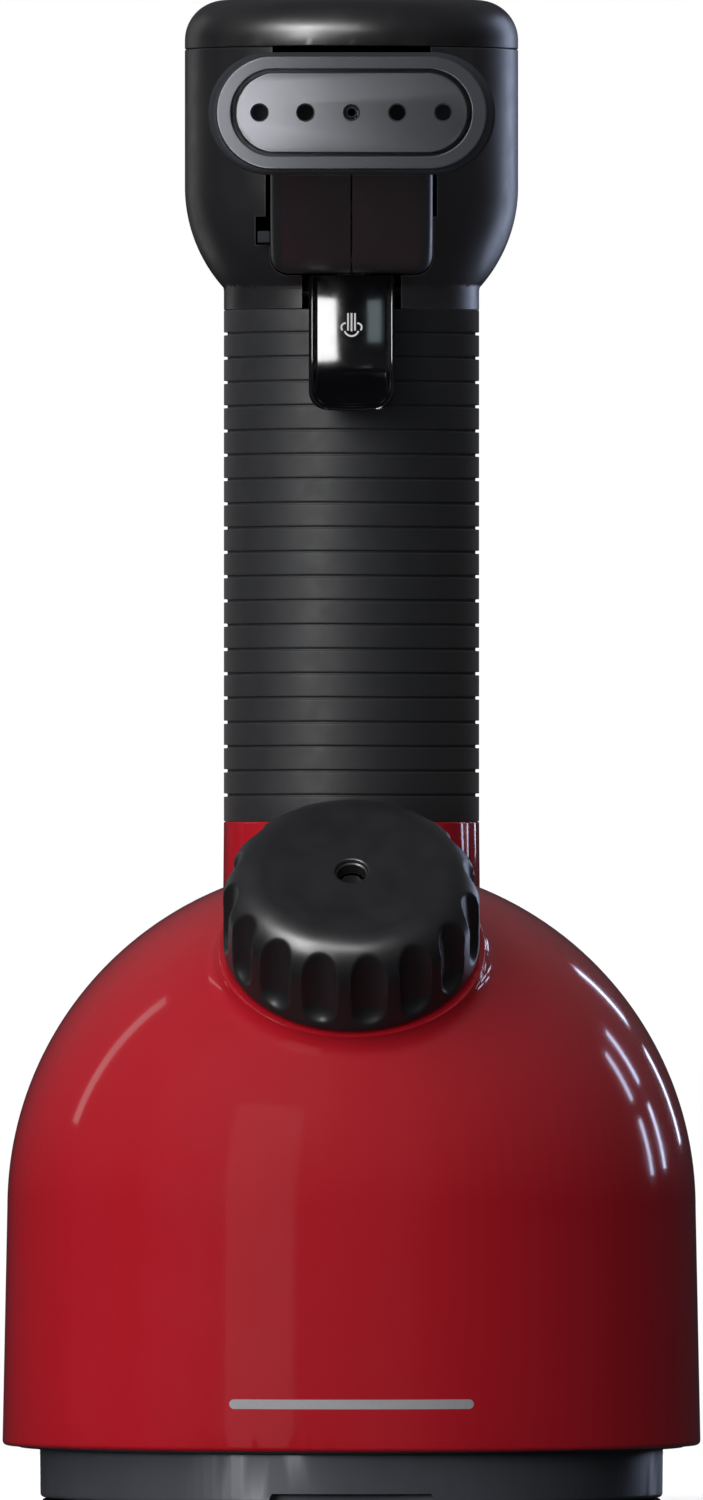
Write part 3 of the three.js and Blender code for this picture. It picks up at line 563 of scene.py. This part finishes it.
def base():
    outer, step_r, inner = mm(59.2), mm(63.2), mm(56.4)
    floor, step_z, top = mm(4.6), mm(11.6), mm(14.4)
    draft, foot_round, small, floor_round = mm(0.1), mm(0.8), mm(0.3), mm(0.6)
    profile = rounded(
        [(AXIS_R, tray_low.z), (outer - draft, tray_low.z), (outer, step_z), (step_r, step_z), (step_r, top),
         (inner, top), (inner, floor), (AXIS_R, floor)],
        [foot_round, small, small, small, small, floor_round])
    ring = revolve("base_ring", profile, segments=192, ring=False)
    wide, narrow, notch_foot, notch_top = mm(16.5), mm(15), mm(1), mm(4)
    notch = [(-wide, notch_foot), (wide, notch_foot), (narrow, notch_top), (-narrow, notch_top)]
    boolean(ring, [prism(notch, -mm(62), -mm(54))])
    finish_piece(ring, "body", "grey_plastic", "base_tray")
    radius, edge, chamfer = pad_high.x, mm(0.3), mm(0.6)
    pad = revolve("foot_pad", rounded(
        [(AXIS_R, 0), (radius - edge, 0), (radius, chamfer), (radius, pad_high.z), (AXIS_R, pad_high.z)],
        [mm(0.2), edge, edge]), ring=False)
    finish_piece(pad, "body", "black_rubber", "rubber_foot_pad")


def cord_gland():
    y_out, y_in, radius = gland_high.y, gland_low.y, gland_high.x
    bore, waist, inner_flange, outer_flange, taper = mm(3.6), mm(5.7), mm(3), mm(2.4), mm(1.1)
    profile = rounded(
        [(bore, y_in), (radius, y_in), (radius, y_in + inner_flange), (waist, y_in + inner_flange),
         (waist, y_out - outer_flange), (radius, y_out - outer_flange), (radius - taper, y_out),
         (bore, y_out), (bore, y_in + mm(0.4))],
        [mm(0.4), mm(0.4), 0, 0, mm(0.5), mm(0.8), mm(0.6)])
    gland = revolve("cord_gland_bush", profile, (0, 0, GLAND_Z), (0, 1, 0), segments=72)
    finish_piece(gland, "body", "black_rubber", "cord_gland")


# ---- Filler cap ----

def soft_least(first, second, blend):
    """The lesser of two lengths, with the corner between them rounded off."""
    overlap = max(blend - abs(first - second), 0.0)
    return min(first, second) - overlap * overlap / (4 * blend)


def fluted(radius, angle, height):
    """The radius of the cap's side where a flute's round cutter, leaning in a little, has been through it."""
    width, depth, lean, start, ball_share = mm(6.8), mm(1.85), 0.06, mm(2.3), 0.8
    cutter_r = ((width / 2) ** 2 + depth**2) / (2 * depth)
    foot = start + cutter_r * ball_share
    centre_r = CAP_R - depth + cutter_r - lean * max(0.0, height - foot)
    pitch = 2 * math.pi / FLUTES
    offset = (angle + math.pi / 2 - FLUTE_PHASE + pitch / 2) % pitch - pitch / 2
    reach = cutter_r**2 - max(0.0, foot - height) ** 2 - (centre_r * math.sin(offset)) ** 2
    if reach <= 0:
        return radius
    return soft_least(radius, centre_r * math.cos(offset) - math.sqrt(reach), mm(0.45))


def cap_knob():
    low, edge, hole_r, hole_edge = mm(0.3), mm(0.7), mm(2.75), mm(0.55)
    inside_r, ceiling, steps_per_flute = mm(21.3), mm(16.2), 36
    shoulder = CAP_R - CAP_FILLET
    side = [(CAP_R, z) for z in np.linspace(low + edge, CAP_H - CAP_FILLET, 40)]
    profile = [(inside_r, low), *arc(CAP_R - edge, low + edge, edge, -90, 0, 5), *side[1:],
               *arc(shoulder, CAP_H - CAP_FILLET, CAP_FILLET, 0, 90, 36)[1:], (mm(9), CAP_H),
               (mm(4.6), CAP_H), *arc(hole_r + mm(0.8), CAP_H - hole_edge, hole_edge, 90, 180, 5),
               (hole_r + mm(0.25), CAP_H - mm(0.8)), (hole_r, CAP_H - mm(1)), (hole_r, ceiling),
               (mm(12), ceiling), (inside_r, ceiling)]
    count = FLUTES * steps_per_flute
    angles = [2 * math.pi * i / count for i in range(count)]
    rows = []
    for radius, height in profile:
        above_inside = radius > inside_r + mm(0.1) or height > ceiling + mm(0.3)
        outer = radius > mm(15) and height > low + mm(0.5) and above_inside
        radii = [fluted(radius, a, height) if outer else radius for a in angles]
        rows.append([in_cap_frame(r, a, height) for r, a in zip(radii, angles, strict=True)])
    knob = skin("filler_cap", rows, ring=True, sharp_degrees=40)
    finish_piece(knob, "cap", "black_body", "cap_knob", material=cap_black)


# ---- Grip ----

def grip():
    grooves, pitch, first = 20, mm(4.62), mm(223.2)
    half_width, depth, lip, flat = mm(0.3), mm(0.7), mm(0.08), mm(0.25)
    floor, floor_out, floor_down = HANDLE_R - depth, mm(0.1), mm(0.12)
    seam, edge, inner = mm(0.28), mm(0.2), mm(22)
    bottom, top = grip_low.z - seam, grip_high.z + seam
    profile = [(inner, top), *arc(HANDLE_R - edge, top - edge, edge, 90, 0, 3)]
    for index in range(grooves):
        z = first - pitch * index
        above, below = z + half_width, z - half_width
        profile += [(HANDLE_R, above + lip + flat), *arc(HANDLE_R - lip, above + lip, lip, 0, -90, 3)]
        profile += [(floor + floor_out, above), (floor, above - floor_down), (floor, below + floor_down),
                    (floor + floor_out, below)]
        profile += [*arc(HANDLE_R - lip, below - lip, lip, 90, 0, 3), (HANDLE_R, below - lip - flat)]
    profile += [*arc(HANDLE_R - edge, bottom + edge, edge, 0, -90, 3), (inner, bottom)]
    sleeve = revolve("ribbed_grip", profile, (0, HANDLE_Y, 0), sharp_degrees=50)
    finish_piece(sleeve, "body", "grip_rubber", "grip_sleeve")


# ---- Head ----

def shoulder_arc(offset, steps, reverse=False):
    """The curve from the neck band up to the drum, moved inwards by an offset."""
    radius, shoulder_z, band_z = mm(28.8), mm(251.2), mm(232)
    down = -math.degrees(math.asin((shoulder_z - band_z) / radius))
    points = arc(HEAD_R - radius, shoulder_z, radius - offset, down, 0, steps)
    return points[::-1] if reverse else points


def head():
    wall, edge, foot_round = mm(2.2), mm(0.25), mm(0.2)
    bottom, band_top, inner_band_top, top = mm(227.7), mm(231.4), mm(231), house_high.z
    inside = HEAD_R - wall
    spigot_in, spigot_out, ledge_top = mm(16.5), mm(18.9), mm(229.5)
    gap_foot, gap_top = mm(245.1), mm(262)
    profile = [(spigot_in, house_low.z), (spigot_out, house_low.z), (spigot_out, bottom),
               *arc(HANDLE_R - foot_round, bottom + foot_round, foot_round, -90, 0, 3),
               (HANDLE_R, band_top), *shoulder_arc(0, 28), (HEAD_R, gap_top),
               *arc(HEAD_R - edge, top - edge, edge, 0, 90, 3), (inside, top),
               *shoulder_arc(wall, 10, reverse=True), (HANDLE_R - wall, inner_band_top),
               (HANDLE_R - wall, ledge_top), (spigot_in, ledge_top)]
    housing = revolve("head_shell", profile, (0, HANDLE_Y, 0), segments=192)
    ear_in, ear_out, ear_front, ear_foot, ear_top = mm(9.7), mm(16), -mm(6), mm(229), mm(234.2)
    ears = [block((left, ear_front, ear_foot), (right, 0, ear_top))
            for left, right in ((-ear_out, -ear_in), (ear_in, ear_out))]
    boolean(housing, ears, "UNION")

    slot, foot, slot_bottom = mm(15.45), mm(3.6), snout_low.z - mm(0.3)
    slot_outline = [*arc(slot - foot, slot_bottom + foot, foot, -90, 0, 8), (slot, snout_high.z),
                    (-slot, snout_high.z), *arc(foot - slot, slot_bottom + foot, foot, 180, 270, 8)]
    front, back, over = -mm(40), -mm(5), mm(1)
    trigger_window = block((-mm(9.4), -mm(30), mm(226)), (mm(9.4), mm(0.6), mm(234.6)))
    stem_slot = block((-mm(5), -mm(12), mm(200)), (mm(5), mm(0.6), mm(227)))
    snout_slot = prism(slot_outline, front, back)
    lid_slot = block((-mm(15), front, snout_high.z - over), (mm(15), back, top + over))
    side_gaps = block((-mm(16.3), front, gap_foot), (mm(16.2), back, gap_top))
    hook_window = block((-mm(18.2), front, mm(239.8)), (-mm(15), back, gap_foot + mm(0.05)))
    boolean(housing, [trigger_window, stem_slot, snout_slot, lid_slot, side_gaps, hook_window])
    finish_piece(housing, "body", "black_body", "head_housing")

    lid_bottom, fillet = top + mm(0.08), mm(7.6)
    flat = HEAD_R - fillet
    spigot_in, spigot_out, spigot_z = mm(27.5), mm(29.1), lid_low.z + mm(1)
    lid_profile = [(AXIS_R, lid_high.z - wall), (flat, lid_high.z - wall), (spigot_in, lid_high.z - mm(5)),
                   (spigot_in, spigot_z), (spigot_out, spigot_z), (spigot_out, lid_bottom),
                   *arc(HEAD_R - edge, lid_bottom + edge, edge, -90, 0, 3),
                   *arc(flat, lid_high.z - fillet, fillet, 0, 90, 24), (mm(12), lid_high.z),
                   (AXIS_R, lid_high.z)]
    lid = revolve("head_cover", lid_profile, (0, HANDLE_Y, 0), segments=192, ring=False)
    spigot_window = block((-mm(18.5), -mm(30), mm(270)), (mm(18.5), mm(2), lid_bottom))
    boolean(lid, [spigot_window])
    finish_piece(lid, "body", "black_body", "head_lid")


# ---- Snout ----

def chin_height(y):
    """How high the underside of the snout is at a depth: flat below the head, then rising to the nozzle."""
    start, end = -mm(28.5), snout_low.y
    bottom, raised = snout_low.z, mm(252.3)
    if y >= start:
        return bottom
    bend = mm(4)
    slope = (raised - bottom) / (math.hypot(start - end, bend) - bend)
    return bottom + slope * (math.hypot(start - y, bend) - bend)


def half_section(side, bottom, top):
    """The C-shaped section of one half, as (x, z) points from the top seam round it and back inside."""
    half, seam, wall, foot, crown = snout_high.x, mm(0.15), mm(2), mm(3.4), mm(1.2)
    nick = mm(0.25)
    outer = [(seam, top - nick), *arc(seam + nick, top - nick, nick, 180, 90, 3)[1:],
             *arc(half - crown, top - crown, crown, 90, 0, 6),
             *arc(half - foot, bottom + foot, foot, 0, -90, 10),
             *arc(seam + nick, bottom + nick, nick, 270, 180, 3)]
    inner = [(seam, bottom + wall), (half - foot, bottom + wall),
             *arc(half - foot, bottom + foot, foot - wall, -90, 0, 4),
             (half - wall, top - wall), (seam, top - wall)]
    return [(side * x, z) for x, z in outer + inner]


def snout():
    back, front, top = snout_high.y, snout_low.y, snout_high.z
    depths = [*np.linspace(back, -mm(26), 8), *np.linspace(-mm(26.5), front + mm(0.6), 40), front]
    for side, name in ((-1, "left"), (1, "right")):
        rows = []
        for y in depths:
            shrink = mm(0.35) if y == front else 0
            outline = half_section(side, chin_height(y), top)
            rows.append([(x * (1 - shrink / snout_high.x), y, z) for x, z in outline])
        half = skin(f"snout_{name}_shell", rows, sharp_degrees=40)
        finish_piece(half, "body", "black_body", f"snout_{name}")
    hook = block((-mm(17.8), -mm(15), mm(240.1)), (-mm(15.4), -mm(12), mm(242.4)), "snap_hook")
    soften(hook, mm(0.3))
    finish_piece(hook, "body", "grey_plastic")


# ---- Nozzle ----

def stadium(reach, radius, y):
    """A loop of points round a stadium whose round ends are centred at plus and minus reach."""
    steps = 28
    loop = []
    for side in (1, -1):
        for i in range(steps + 1):
            a = -side * math.pi / 2 + math.pi * i / steps
            loop.append((side * reach + radius * math.cos(a), y, NOZZLE_Z + radius * math.sin(a)))
    return loop


def swept(name, profile, ring=True):
    """A skin through stadiums given as (reach, radius, y)."""
    return skin(name, [stadium(*entry) for entry in profile], ring, sharp_degrees=40)


def front_round(reach, radius, front, edge, steps=5):
    """The rounded front edge of a stadium, from its side to its face."""
    return [(reach, radius - edge * (1 - math.cos(a)), front + edge * (1 - math.sin(a)))
            for a in np.linspace(0, math.pi / 2, steps + 1)]


def back_round(reach, radius, back, edge):
    """The rounded back edge of a stadium, from its back to its side. A negative edge rounds an inner edge."""
    return [(reach, radius - edge * (1 - math.sin(a)), back - edge * (1 - math.cos(a)))
            for a in np.linspace(0, math.pi / 2, 6)]


def nozzle():
    front, back = bezel_low.y, snout_low.y - mm(0.03)
    throat_reach, throat_r, cowl_front = mm(4.5), mm(10), mm(-63.6)
    flange_front, flange_back, flange_r, flange_reach = mm(-66.5), mm(-63.9), mm(11.5), mm(15.5)
    back_edge, front_edge = mm(0.5), mm(0.6)
    well_reach, well_r, well_floor = mm(8), mm(4), mm(-58)
    cowl = []
    for share in np.linspace(0, 1, 14):
        eased = ease(share)
        cowl.append((throat_reach + (flange_reach - mm(0.4) - throat_reach) * eased,
                     throat_r + (flange_r - mm(0.3) - throat_r) * eased, back + (cowl_front - back) * share))
    ring_reach, ring_r, ring_edge = mm(14.9), mm(10.6), mm(0.35)
    flange = back_round(flange_reach, flange_r, flange_back, back_edge)[1:]
    flange += front_round(flange_reach, flange_r, flange_front, front_edge)
    flange += [(ring_reach, ring_r - mm(0.6), flange_front), (well_reach, well_r, flange_front),
               (well_reach, well_r, well_floor), (throat_reach, well_r, back)]
    finish_piece(swept("nozzle_flange", cowl + flange), "body", "grey_plastic", "nozzle_bezel")

    groove_reach, groove_r, groove_edge, face_line = mm(14.4), mm(8.2), mm(0.22), mm(0.15)
    floor, floor_r, overlap = mm(-70), mm(4.2), mm(0.05)
    sides = (flange_front + overlap, flange_front - mm(0.4), front + mm(0.9))
    ring = [(ring_reach, ring_r, y) for y in sides]
    ring += front_round(ring_reach, ring_r, front, ring_edge)
    ring += [(ring_reach, ring_r - ring_edge - face_line, front),
             (groove_reach, groove_r + groove_edge + face_line, front)]
    ring += back_round(groove_reach, groove_r, front, -groove_edge)
    ring += [(groove_reach, groove_r, front + mm(1)), (groove_reach, groove_r, floor),
             (groove_reach, floor_r, floor), (groove_reach, floor_r, flange_front + overlap)]
    finish_piece(swept("nozzle_ring", ring), "body", "grey_plastic")


def steam_face():
    reach, radius, edge = mm(14.3), mm(7.55), mm(0.35)
    face, rear = plate_low.y, plate_high.y
    profile = [(reach, radius, rear), (reach, radius, face + edge)]
    profile += front_round(reach, radius, face, edge, 4)[1:]
    plate = swept("steam_face", profile, ring=False)
    pitch, jet_hole_r, steam_hole_r, chamfer = mm(8.63), mm(1.35), mm(1.475), mm(0.3)
    start, end = rear + mm(1), face - mm(0.02)
    holes = []
    for place in range(-2, 3):
        hole_r = jet_hole_r if place == 0 else steam_hole_r
        profile = [(NEAR_AXIS, -start), (hole_r, -start), (hole_r, -(face + chamfer)),
                   (hole_r + chamfer, -end), (NEAR_AXIS, -end)]
        holes.append(revolve("cutter", profile, (place * pitch, 0, NOZZLE_Z), (0, -1, 0), 40, ring=False))
    boolean(plate, holes)
    finish_piece(plate, "body", "silver_plate", "steam_plate")


def jet_tube():
    tip = -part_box("centre_jet")[0].y
    bore, tube_r, foot_r, foot, foot_top = mm(0.72), mm(1), mm(2.4), tip - mm(4), tip - mm(2.9)
    profile = rounded(
        [(bore, foot), (foot_r, foot), (foot_r, foot_top), (tube_r, foot_top), (tube_r, tip), (bore, tip),
         (bore, tip - mm(3.8))],
        [mm(0.1), mm(0.2), 0, mm(0.12), mm(0.1)])
    jet = revolve("jet_tube", profile, (0, 0, NOZZLE_Z), (0, -1, 0), segments=40)
    finish_piece(jet, "body", "steel", "centre_jet")


# ---- Trigger ----

def lever_line(z):
    """The y of the trigger's crest at a height: nearly upright, then flaring forwards to its lip."""
    upright, turn = -mm(17.6), mm(225)
    top_lean, lip_lean = mm(1.35), mm(5)
    if z > turn:
        return upright - top_lean * ((z - turn) / mm(9)) ** 2
    return upright - lip_lean * ((turn - z) / mm(16.3)) ** 2.6


def plate_loop(inset):
    """The trigger's outline seen from the front, moved inwards, as (x, z) points."""
    half = TRIGGER_HALF - inset
    bottom, top = trigger_low.z + inset, mm(233.9) - inset
    foot, crown = max(TRIGGER_FOOT - inset, mm(0.4)), max(mm(0.8) - inset, mm(0.3))
    loop = [(half * s, bottom + TRIGGER_SAG * s * s) for s in np.linspace(0, 1 - foot / half, 14)[:-1]]
    rise = TRIGGER_SAG * (1 - foot / half) ** 2
    loop += [(x, z + rise) for x, z in arc(half - foot, bottom + foot, foot, -90, 0, 12)]
    loop += [(half, bottom + foot + rise + (top - crown - bottom - foot - rise) * s)
             for s in np.linspace(0, 1, 40)[1:-1]]
    loop += arc(half - crown, top - crown, crown, 0, 90, 4)
    loop += [((half - crown) * s, top) for s in np.linspace(1, 0, 14)[1:]]
    return loop[:-1] + [(-x, z) for x, z in loop[::-1]][:-1]


def from_rim(x, z):
    """How far a point is inside the trigger's two sides and its rounded bottom."""
    side = TRIGGER_HALF - abs(x)
    floor = z - trigger_low.z - TRIGGER_SAG * (x / TRIGGER_HALF) ** 2
    if side < TRIGGER_FOOT and floor < TRIGGER_FOOT:
        return TRIGGER_FOOT - math.hypot(TRIGGER_FOOT - side, TRIGGER_FOOT - floor)
    return min(side, floor)


def trigger_front(x, z):
    """The y of the trigger's front: a rounded rim round a channel that grows shallow at the lip."""
    rim_round, edge_depth, middle_depth, ramp_width = mm(0.55), mm(0.9), mm(1.15), mm(0.9)
    fade_height, least = mm(7), 0.35
    inset = max(0.0, from_rim(x, z))
    crest = TRIGGER_RIM / 2
    y = lever_line(z)
    if inset < crest:
        return y + rim_round * (1 - math.sqrt(max(0.0, 1 - (1 - inset / crest) ** 2)))
    across = min(1.0, abs(x) / (TRIGGER_HALF - crest))
    along = min(1.0, max(0.0, (z - trigger_low.z - TRIGGER_RIM) / fade_height))
    scoop = edge_depth + middle_depth * (1 - across**2)
    ramp = min(1.0, (inset - crest) / ramp_width)
    return y + scoop * ease(ramp) * (least + (1 - least) * ease(along))


def trigger():
    insets = [0, 0.03, 0.08, 0.16, 0.26, 0.38, 0.5, 0.65, 0.8, 0.95, 1.1, 1.25, 1.4, 1.55, 1.75, 2, 2.3, 2.6,
              3, 3.4, 3.8, 4.2, 4.6, 5, 5.4, 5.8, 6.2, 6.6, 7, 7.4, 7.7]
    thickness = mm(2.6)
    rows = []
    for inset, shift in ((0.7, 0), (0.25, 0.12), (0.05, 0.4), (0, 0.8)):
        rows.append([(x, lever_line(z) + thickness - mm(shift), z) for x, z in plate_loop(mm(inset))])
    rows += [[(x, trigger_front(x, z), z) for x, z in plate_loop(mm(inset))] for inset in insets]
    count = len(rows[0])
    half = count // 2
    faces = side_faces(rows)
    # quads from side to side close the first loop and the last, with a triangle at the top and the bottom
    for start in (0, (len(rows) - 1) * count):
        faces.append((start, start + 1, start + count - 1))
        faces.append((start + half, start + half - 1, start + half + 1))
        for c in range(1, half - 1):
            faces.append((start + c, start + c + 1, start + count - c - 1, start + count - c))
    vertices = [point for row in rows for point in row]
    plate = make_piece("trigger_plate", vertices, faces, sharp_degrees=60)
    pivot = Vector(joints["trigger_press"]["pos_m"])
    half_length, barrel_r, bore, sunk = mm(7), mm(3.1), mm(1.8), mm(2.2)
    barrel = revolve("trigger_barrel", rounded(
        [(bore, -half_length), (barrel_r, -half_length), (barrel_r, half_length), (bore, half_length),
         (bore, -mm(6.8))],
        [mm(0.3), mm(0.3), 0]), pivot, (1, 0, 0), segments=48)
    web_low, web_high = (-half_length, -mm(15.7), mm(229.4)), (half_length, pivot.y - sunk, mm(233.6))
    web = block(web_low, web_high, "trigger_web")
    arm = block((-mm(3), -mm(5), mm(221)), (mm(3), -mm(1), pivot.z - sunk), "trigger_arm")
    for piece in (web, arm):
        soften(piece, mm(0.4))
    finish_piece(plate, "trigger", "black_gloss", "trigger")
    for piece in (barrel, web, arm):
        finish_piece(piece, "trigger", "black_gloss")


def ribbon(name, paths, width, lift):
    """Thin printed strokes that follow the dish of the trigger. Each path is a list of (x, z) points."""
    vertices, faces = [], []
    for path in paths:
        points = np.array(path)
        along = np.gradient(points, axis=0)
        along /= np.linalg.norm(along, axis=1)[:, None]
        across = np.stack([-along[:, 1], along[:, 0]], axis=1) * width / 2
        first = len(vertices)
        for point, side in zip(points, across, strict=True):
            for x, z in (point + side, point - side):
                y = trigger_front(x, z)
                vertices += [(x, y - lift, z), (x, y + lift, z)]
        for i in range(len(points) - 1):
            a, b = first + 4 * i, first + 4 * (i + 1)
            faces += [(a, a + 2, b + 2, b), (a + 1, b + 1, b + 3, a + 3), (a, b, b + 1, a + 1),
                      (a + 2, a + 3, b + 3, b + 2)]
        last = first + 4 * (len(points) - 1)
        faces += [(first, first + 1, first + 3, first + 2), (last, last + 2, last + 3, last + 1)]
    return make_piece(name, vertices, faces)


def steam_symbol():
    """Three strokes of steam over a bowl, with a curl on each side."""
    middle, spacing, top, bowl_r = mm(223.8), mm(0.66), mm(3), mm(1.35)
    curl_x, curl_up, curl_r = mm(1.15), mm(0.3), mm(0.78)
    stroke, lift = mm(0.34), mm(0.02)
    paths = []
    for place in (-1, 0, 1):
        foot = middle - mm(0.3) - mm(0.15) * (place == 0)
        paths.append([(place * spacing, z) for z in np.linspace(foot, middle + top, 12)])
    paths.append(arc(0, middle, bowl_r, 197, 343, 20))
    for side in (1, -1):
        curl = arc(curl_x, middle + curl_up, curl_r, 95, -45, 16)
        paths.append([(side * x, z) for x, z in curl])
    symbol = ribbon("steam_symbol", paths, stroke, lift)
    finish_piece(symbol, "trigger", "black_gloss", material=white_print)


# ---- Printed bar on the dome ----

def printed_bar():
    """A plain silver bar with round ends, printed low on the front of the dome."""
    half_length, half_height, level, lift, tip = mm(23), mm(0.9), mm(21), mm(0.03), 0.0004
    slope = (SKIRT_R - DOME_R) / (DOME_Z - SKIRT_Z - mm(0.9))
    rows = []
    for share in np.linspace(-1, 1, 121):
        x = half_length * math.sin(share * math.pi / 2)
        past = max(0.0, abs(x) - (half_length - half_height)) / half_height
        reach = half_height * math.sqrt(max(tip, 1 - past * past))
        top, bottom = level + reach, level - reach
        row = []
        for depth, z in ((lift, top), (lift, bottom), (-lift, bottom), (-lift, top)):
            radius = DOME_R + slope * (DOME_Z - z) + depth
            row.append((x, -math.sqrt(radius**2 - x * x), z))
        rows.append(row)
    bar = skin("printed_bar", rows)
    finish_piece(bar, "body", "red_shell", material=silver_print)


# ---- Build ----

red_shell()
base()
cord_gland()
cap_knob()
grip()
head()
snout()
nozzle()
steam_face()
jet_tube()
trigger()
steam_symbol()
printed_bar()


# ---- Studio ----

def studio_floor():
    half = 0.45
    mesh = bpy.data.meshes.new("studio_floor")
    corners = [(-half, -half, 0), (half, -half, 0), (half, half, 0), (-half, half, 0)]
    mesh.from_pydata(corners, [], [(0, 1, 2, 3)])
    floor = new_object("studio_floor", mesh)
    f = Finish("pale_floor", Roughness=0.7)
    f.set("Base Color", f.mix(f.noise(300, 3), (0.86, 0.86, 0.86, 1), (0.9, 0.9, 0.9, 1)))
    mesh.materials.append(f.material)
    floor.visible_glossy = False
    floor.visible_diffuse = False
    return floor


def studio_world():
    """White behind the object. What it reflects is dim, and dimmer below than above."""
    world = bpy.data.worlds.new("studio")
    bpy.context.scene.world = world
    world.use_nodes = True
    tree = world.node_tree
    place = add_node(tree, "ShaderNodeTexCoord").outputs["Generated"]
    height = add_node(tree, "ShaderNodeSeparateXYZ", {"Vector": place}).outputs["Z"]
    level = add_node(tree, "ShaderNodeMapRange", {"From Min": -1, "Value": height}).outputs["Result"]
    ramp = add_node(tree, "ShaderNodeValToRGB", {"Fac": level})
    low, high = ramp.color_ramp.elements
    low.position, low.color = 0.5, (0.015, 0.015, 0.018, 1)
    high.position, high.color = 0.82, (0.12, 0.123, 0.132, 1)
    reflected = tree.nodes["Background"]
    tree.links.new(ramp.outputs["Color"], reflected.inputs["Color"])
    seen = add_node(tree, "ShaderNodeBackground", {"Color": (1, 1, 1, 1)})
    direct = add_node(tree, "ShaderNodeLightPath").outputs["Is Camera Ray"]
    choose = add_node(tree, "ShaderNodeMixShader", {0: direct, 1: reflected.outputs[0], 2: seen.outputs[0]})
    tree.links.new(choose.outputs[0], tree.nodes["World Output"].inputs["Surface"])


def panel(name, azimuth, elevation, distance, size, power, colour=(1, 1, 1), height=150, glossy=True,
          diffuse=True, only=None):
    """A soft panel that faces the steamer at a height in mm. Azimuth 0 is in front, positive to the right."""
    target = Vector((0, 0, mm(height)))
    a, e = math.radians(azimuth), math.radians(elevation)
    away = Vector((math.sin(a) * math.cos(e), -math.cos(a) * math.cos(e), math.sin(e)))
    data = bpy.data.lights.new(name, "AREA")
    data.shape = "RECTANGLE"
    data.size, data.size_y = size
    data.energy = power
    data.color = colour
    lamp = new_object(name, data)
    lamp.location = target + away * distance
    lamp.rotation_euler = (-away).to_track_quat("-Z", "Y").to_euler()
    lamp.visible_glossy = glossy
    lamp.visible_diffuse = diffuse
    if only:
        lamp.light_linking.receiver_collection = only


def group(name, *pieces):
    """A collection of the named pieces, for lamps that light only those."""
    collection = bpy.data.collections.new(name)
    for piece in pieces:
        collection.objects.link(bpy.data.objects[piece])
    return collection


def studio_lights(floor):
    snouts = ("snout_left_shell", "snout_right_shell")
    rims = ("head_cover", "head_shell", "filler_cap", *snouts)
    lid_set = group("lit_lid", "head_cover")
    cap_set = group("lit_cap", "filler_cap")
    base_set = group("lit_base", "base_ring")
    face_set = group("lit_face", "steam_face", "nozzle_ring")
    chin_set = group("lit_chin", *snouts)
    head_set = group("lit_head", "head_shell", *snouts)
    black_set = group("lit_blacks", "ribbed_grip", *rims)
    rim_set = group("lit_rims", *rims)
    floor_set = group("lit_floor", floor.name)
    cool = (0.62, 0.72, 1.0)
    panel("key", -44, 22, 1.3, (1.5, 1.5), 17, glossy=False)
    panel("fill", 5, 8, 1.2, (0.8, 0.8), 3.4, glossy=False)
    panel("back_left", -150, 30, 1.4, (0.5, 0.9), 7, glossy=False)
    panel("back_right", 150, 30, 1.4, (0.5, 0.9), 7, (0.85, 0.9, 1.0), glossy=False)

    panel("black_key", -34, 20, 1.1, (0.34, 0.5), 11, diffuse=False, only=black_set)
    panel("black_rim_right", 140, 6, 1.1, (0.4, 0.9), 3.2, cool, diffuse=False, only=rim_set)
    panel("black_rim_left", -142, 6, 1.1, (0.3, 0.9), 0.45, diffuse=False, only=rim_set)
    panel("lid_glow", -30, 28, 1.0, (1.1, 0.1), 15, height=285, diffuse=False, only=lid_set)
    panel("cap_glow", -22, 34, 0.8, (0.8, 0.14), 6, height=110, diffuse=False, only=cap_set)
    panel("face_glow", -13, 0, 0.18, (0.03, 0.5), 0.6, height=225, diffuse=False, only=face_set)
    panel("chin_fill", 0, -22, 0.5, (0.4, 0.1), 0.5, height=240, glossy=False, only=chin_set)
    panel("base_key", -30, 7, 1.0, (0.4, 0.16), 7, height=20, only=base_set)
    panel("base_rim", 150, 7, 1.0, (0.3, 0.16), 5, cool, height=20, diffuse=False, only=base_set)
    panel("head_fill", 25, 2, 1.1, (0.7, 0.7), 4, height=245, glossy=False, only=head_set)

    on_red = {"height": 70, "only": group("lit_red", "red_shell")}
    panel("window_left", -30, 12, 1.2, (0.5, 0.9), 0.22, diffuse=False, **on_red)
    panel("red_fill_left", -95, 10, 1.2, (0.5, 0.8), 3, glossy=False, **on_red)
    for azimuth in (120, 130, 150):
        for elevation in (9, 22):
            name = f"pane_{azimuth}_{elevation}"
            panel(name, azimuth, elevation, 1.2, (0.045, 0.2), 0.17, cool, diffuse=False, **on_red)
    panel("streak_left", -112, 30, 1.1, (0.07, 0.6), 0.12, diffuse=False, **on_red)

    on_trigger = {"height": 228, "diffuse": False, "only": group("lit_trigger", "trigger_plate")}
    panel("trigger_window", 23.3, 4, 0.7, (0.26, 0.5), 9, **on_trigger)
    panel("trigger_teal", -19.5, -3, 0.7, (0.14, 0.28), 0.33, (0.75, 0.95, 1.0), **on_trigger)
    panel("floor_wash", 0, 89, 1.5, (1.5, 1.5), 26, only=floor_set)


def studio_camera():
    """A long lens straight in front, far enough away for upright lines to look nearly parallel."""
    distance, seen_height, middle = 6.0, mm(285), mm(144)
    data = bpy.data.cameras.new("camera")
    data.sensor_width = 36
    data.lens = data.sensor_width * distance / seen_height
    data.clip_end = 100
    camera = new_object("camera", data)
    camera.location = (0, -distance, middle)
    camera.rotation_euler = (math.pi / 2, 0, 0)
    bpy.context.scene.camera = camera


studio_world()
studio_lights(studio_floor())
studio_camera()
bpy.context.scene.view_settings.view_transform = "Standard"
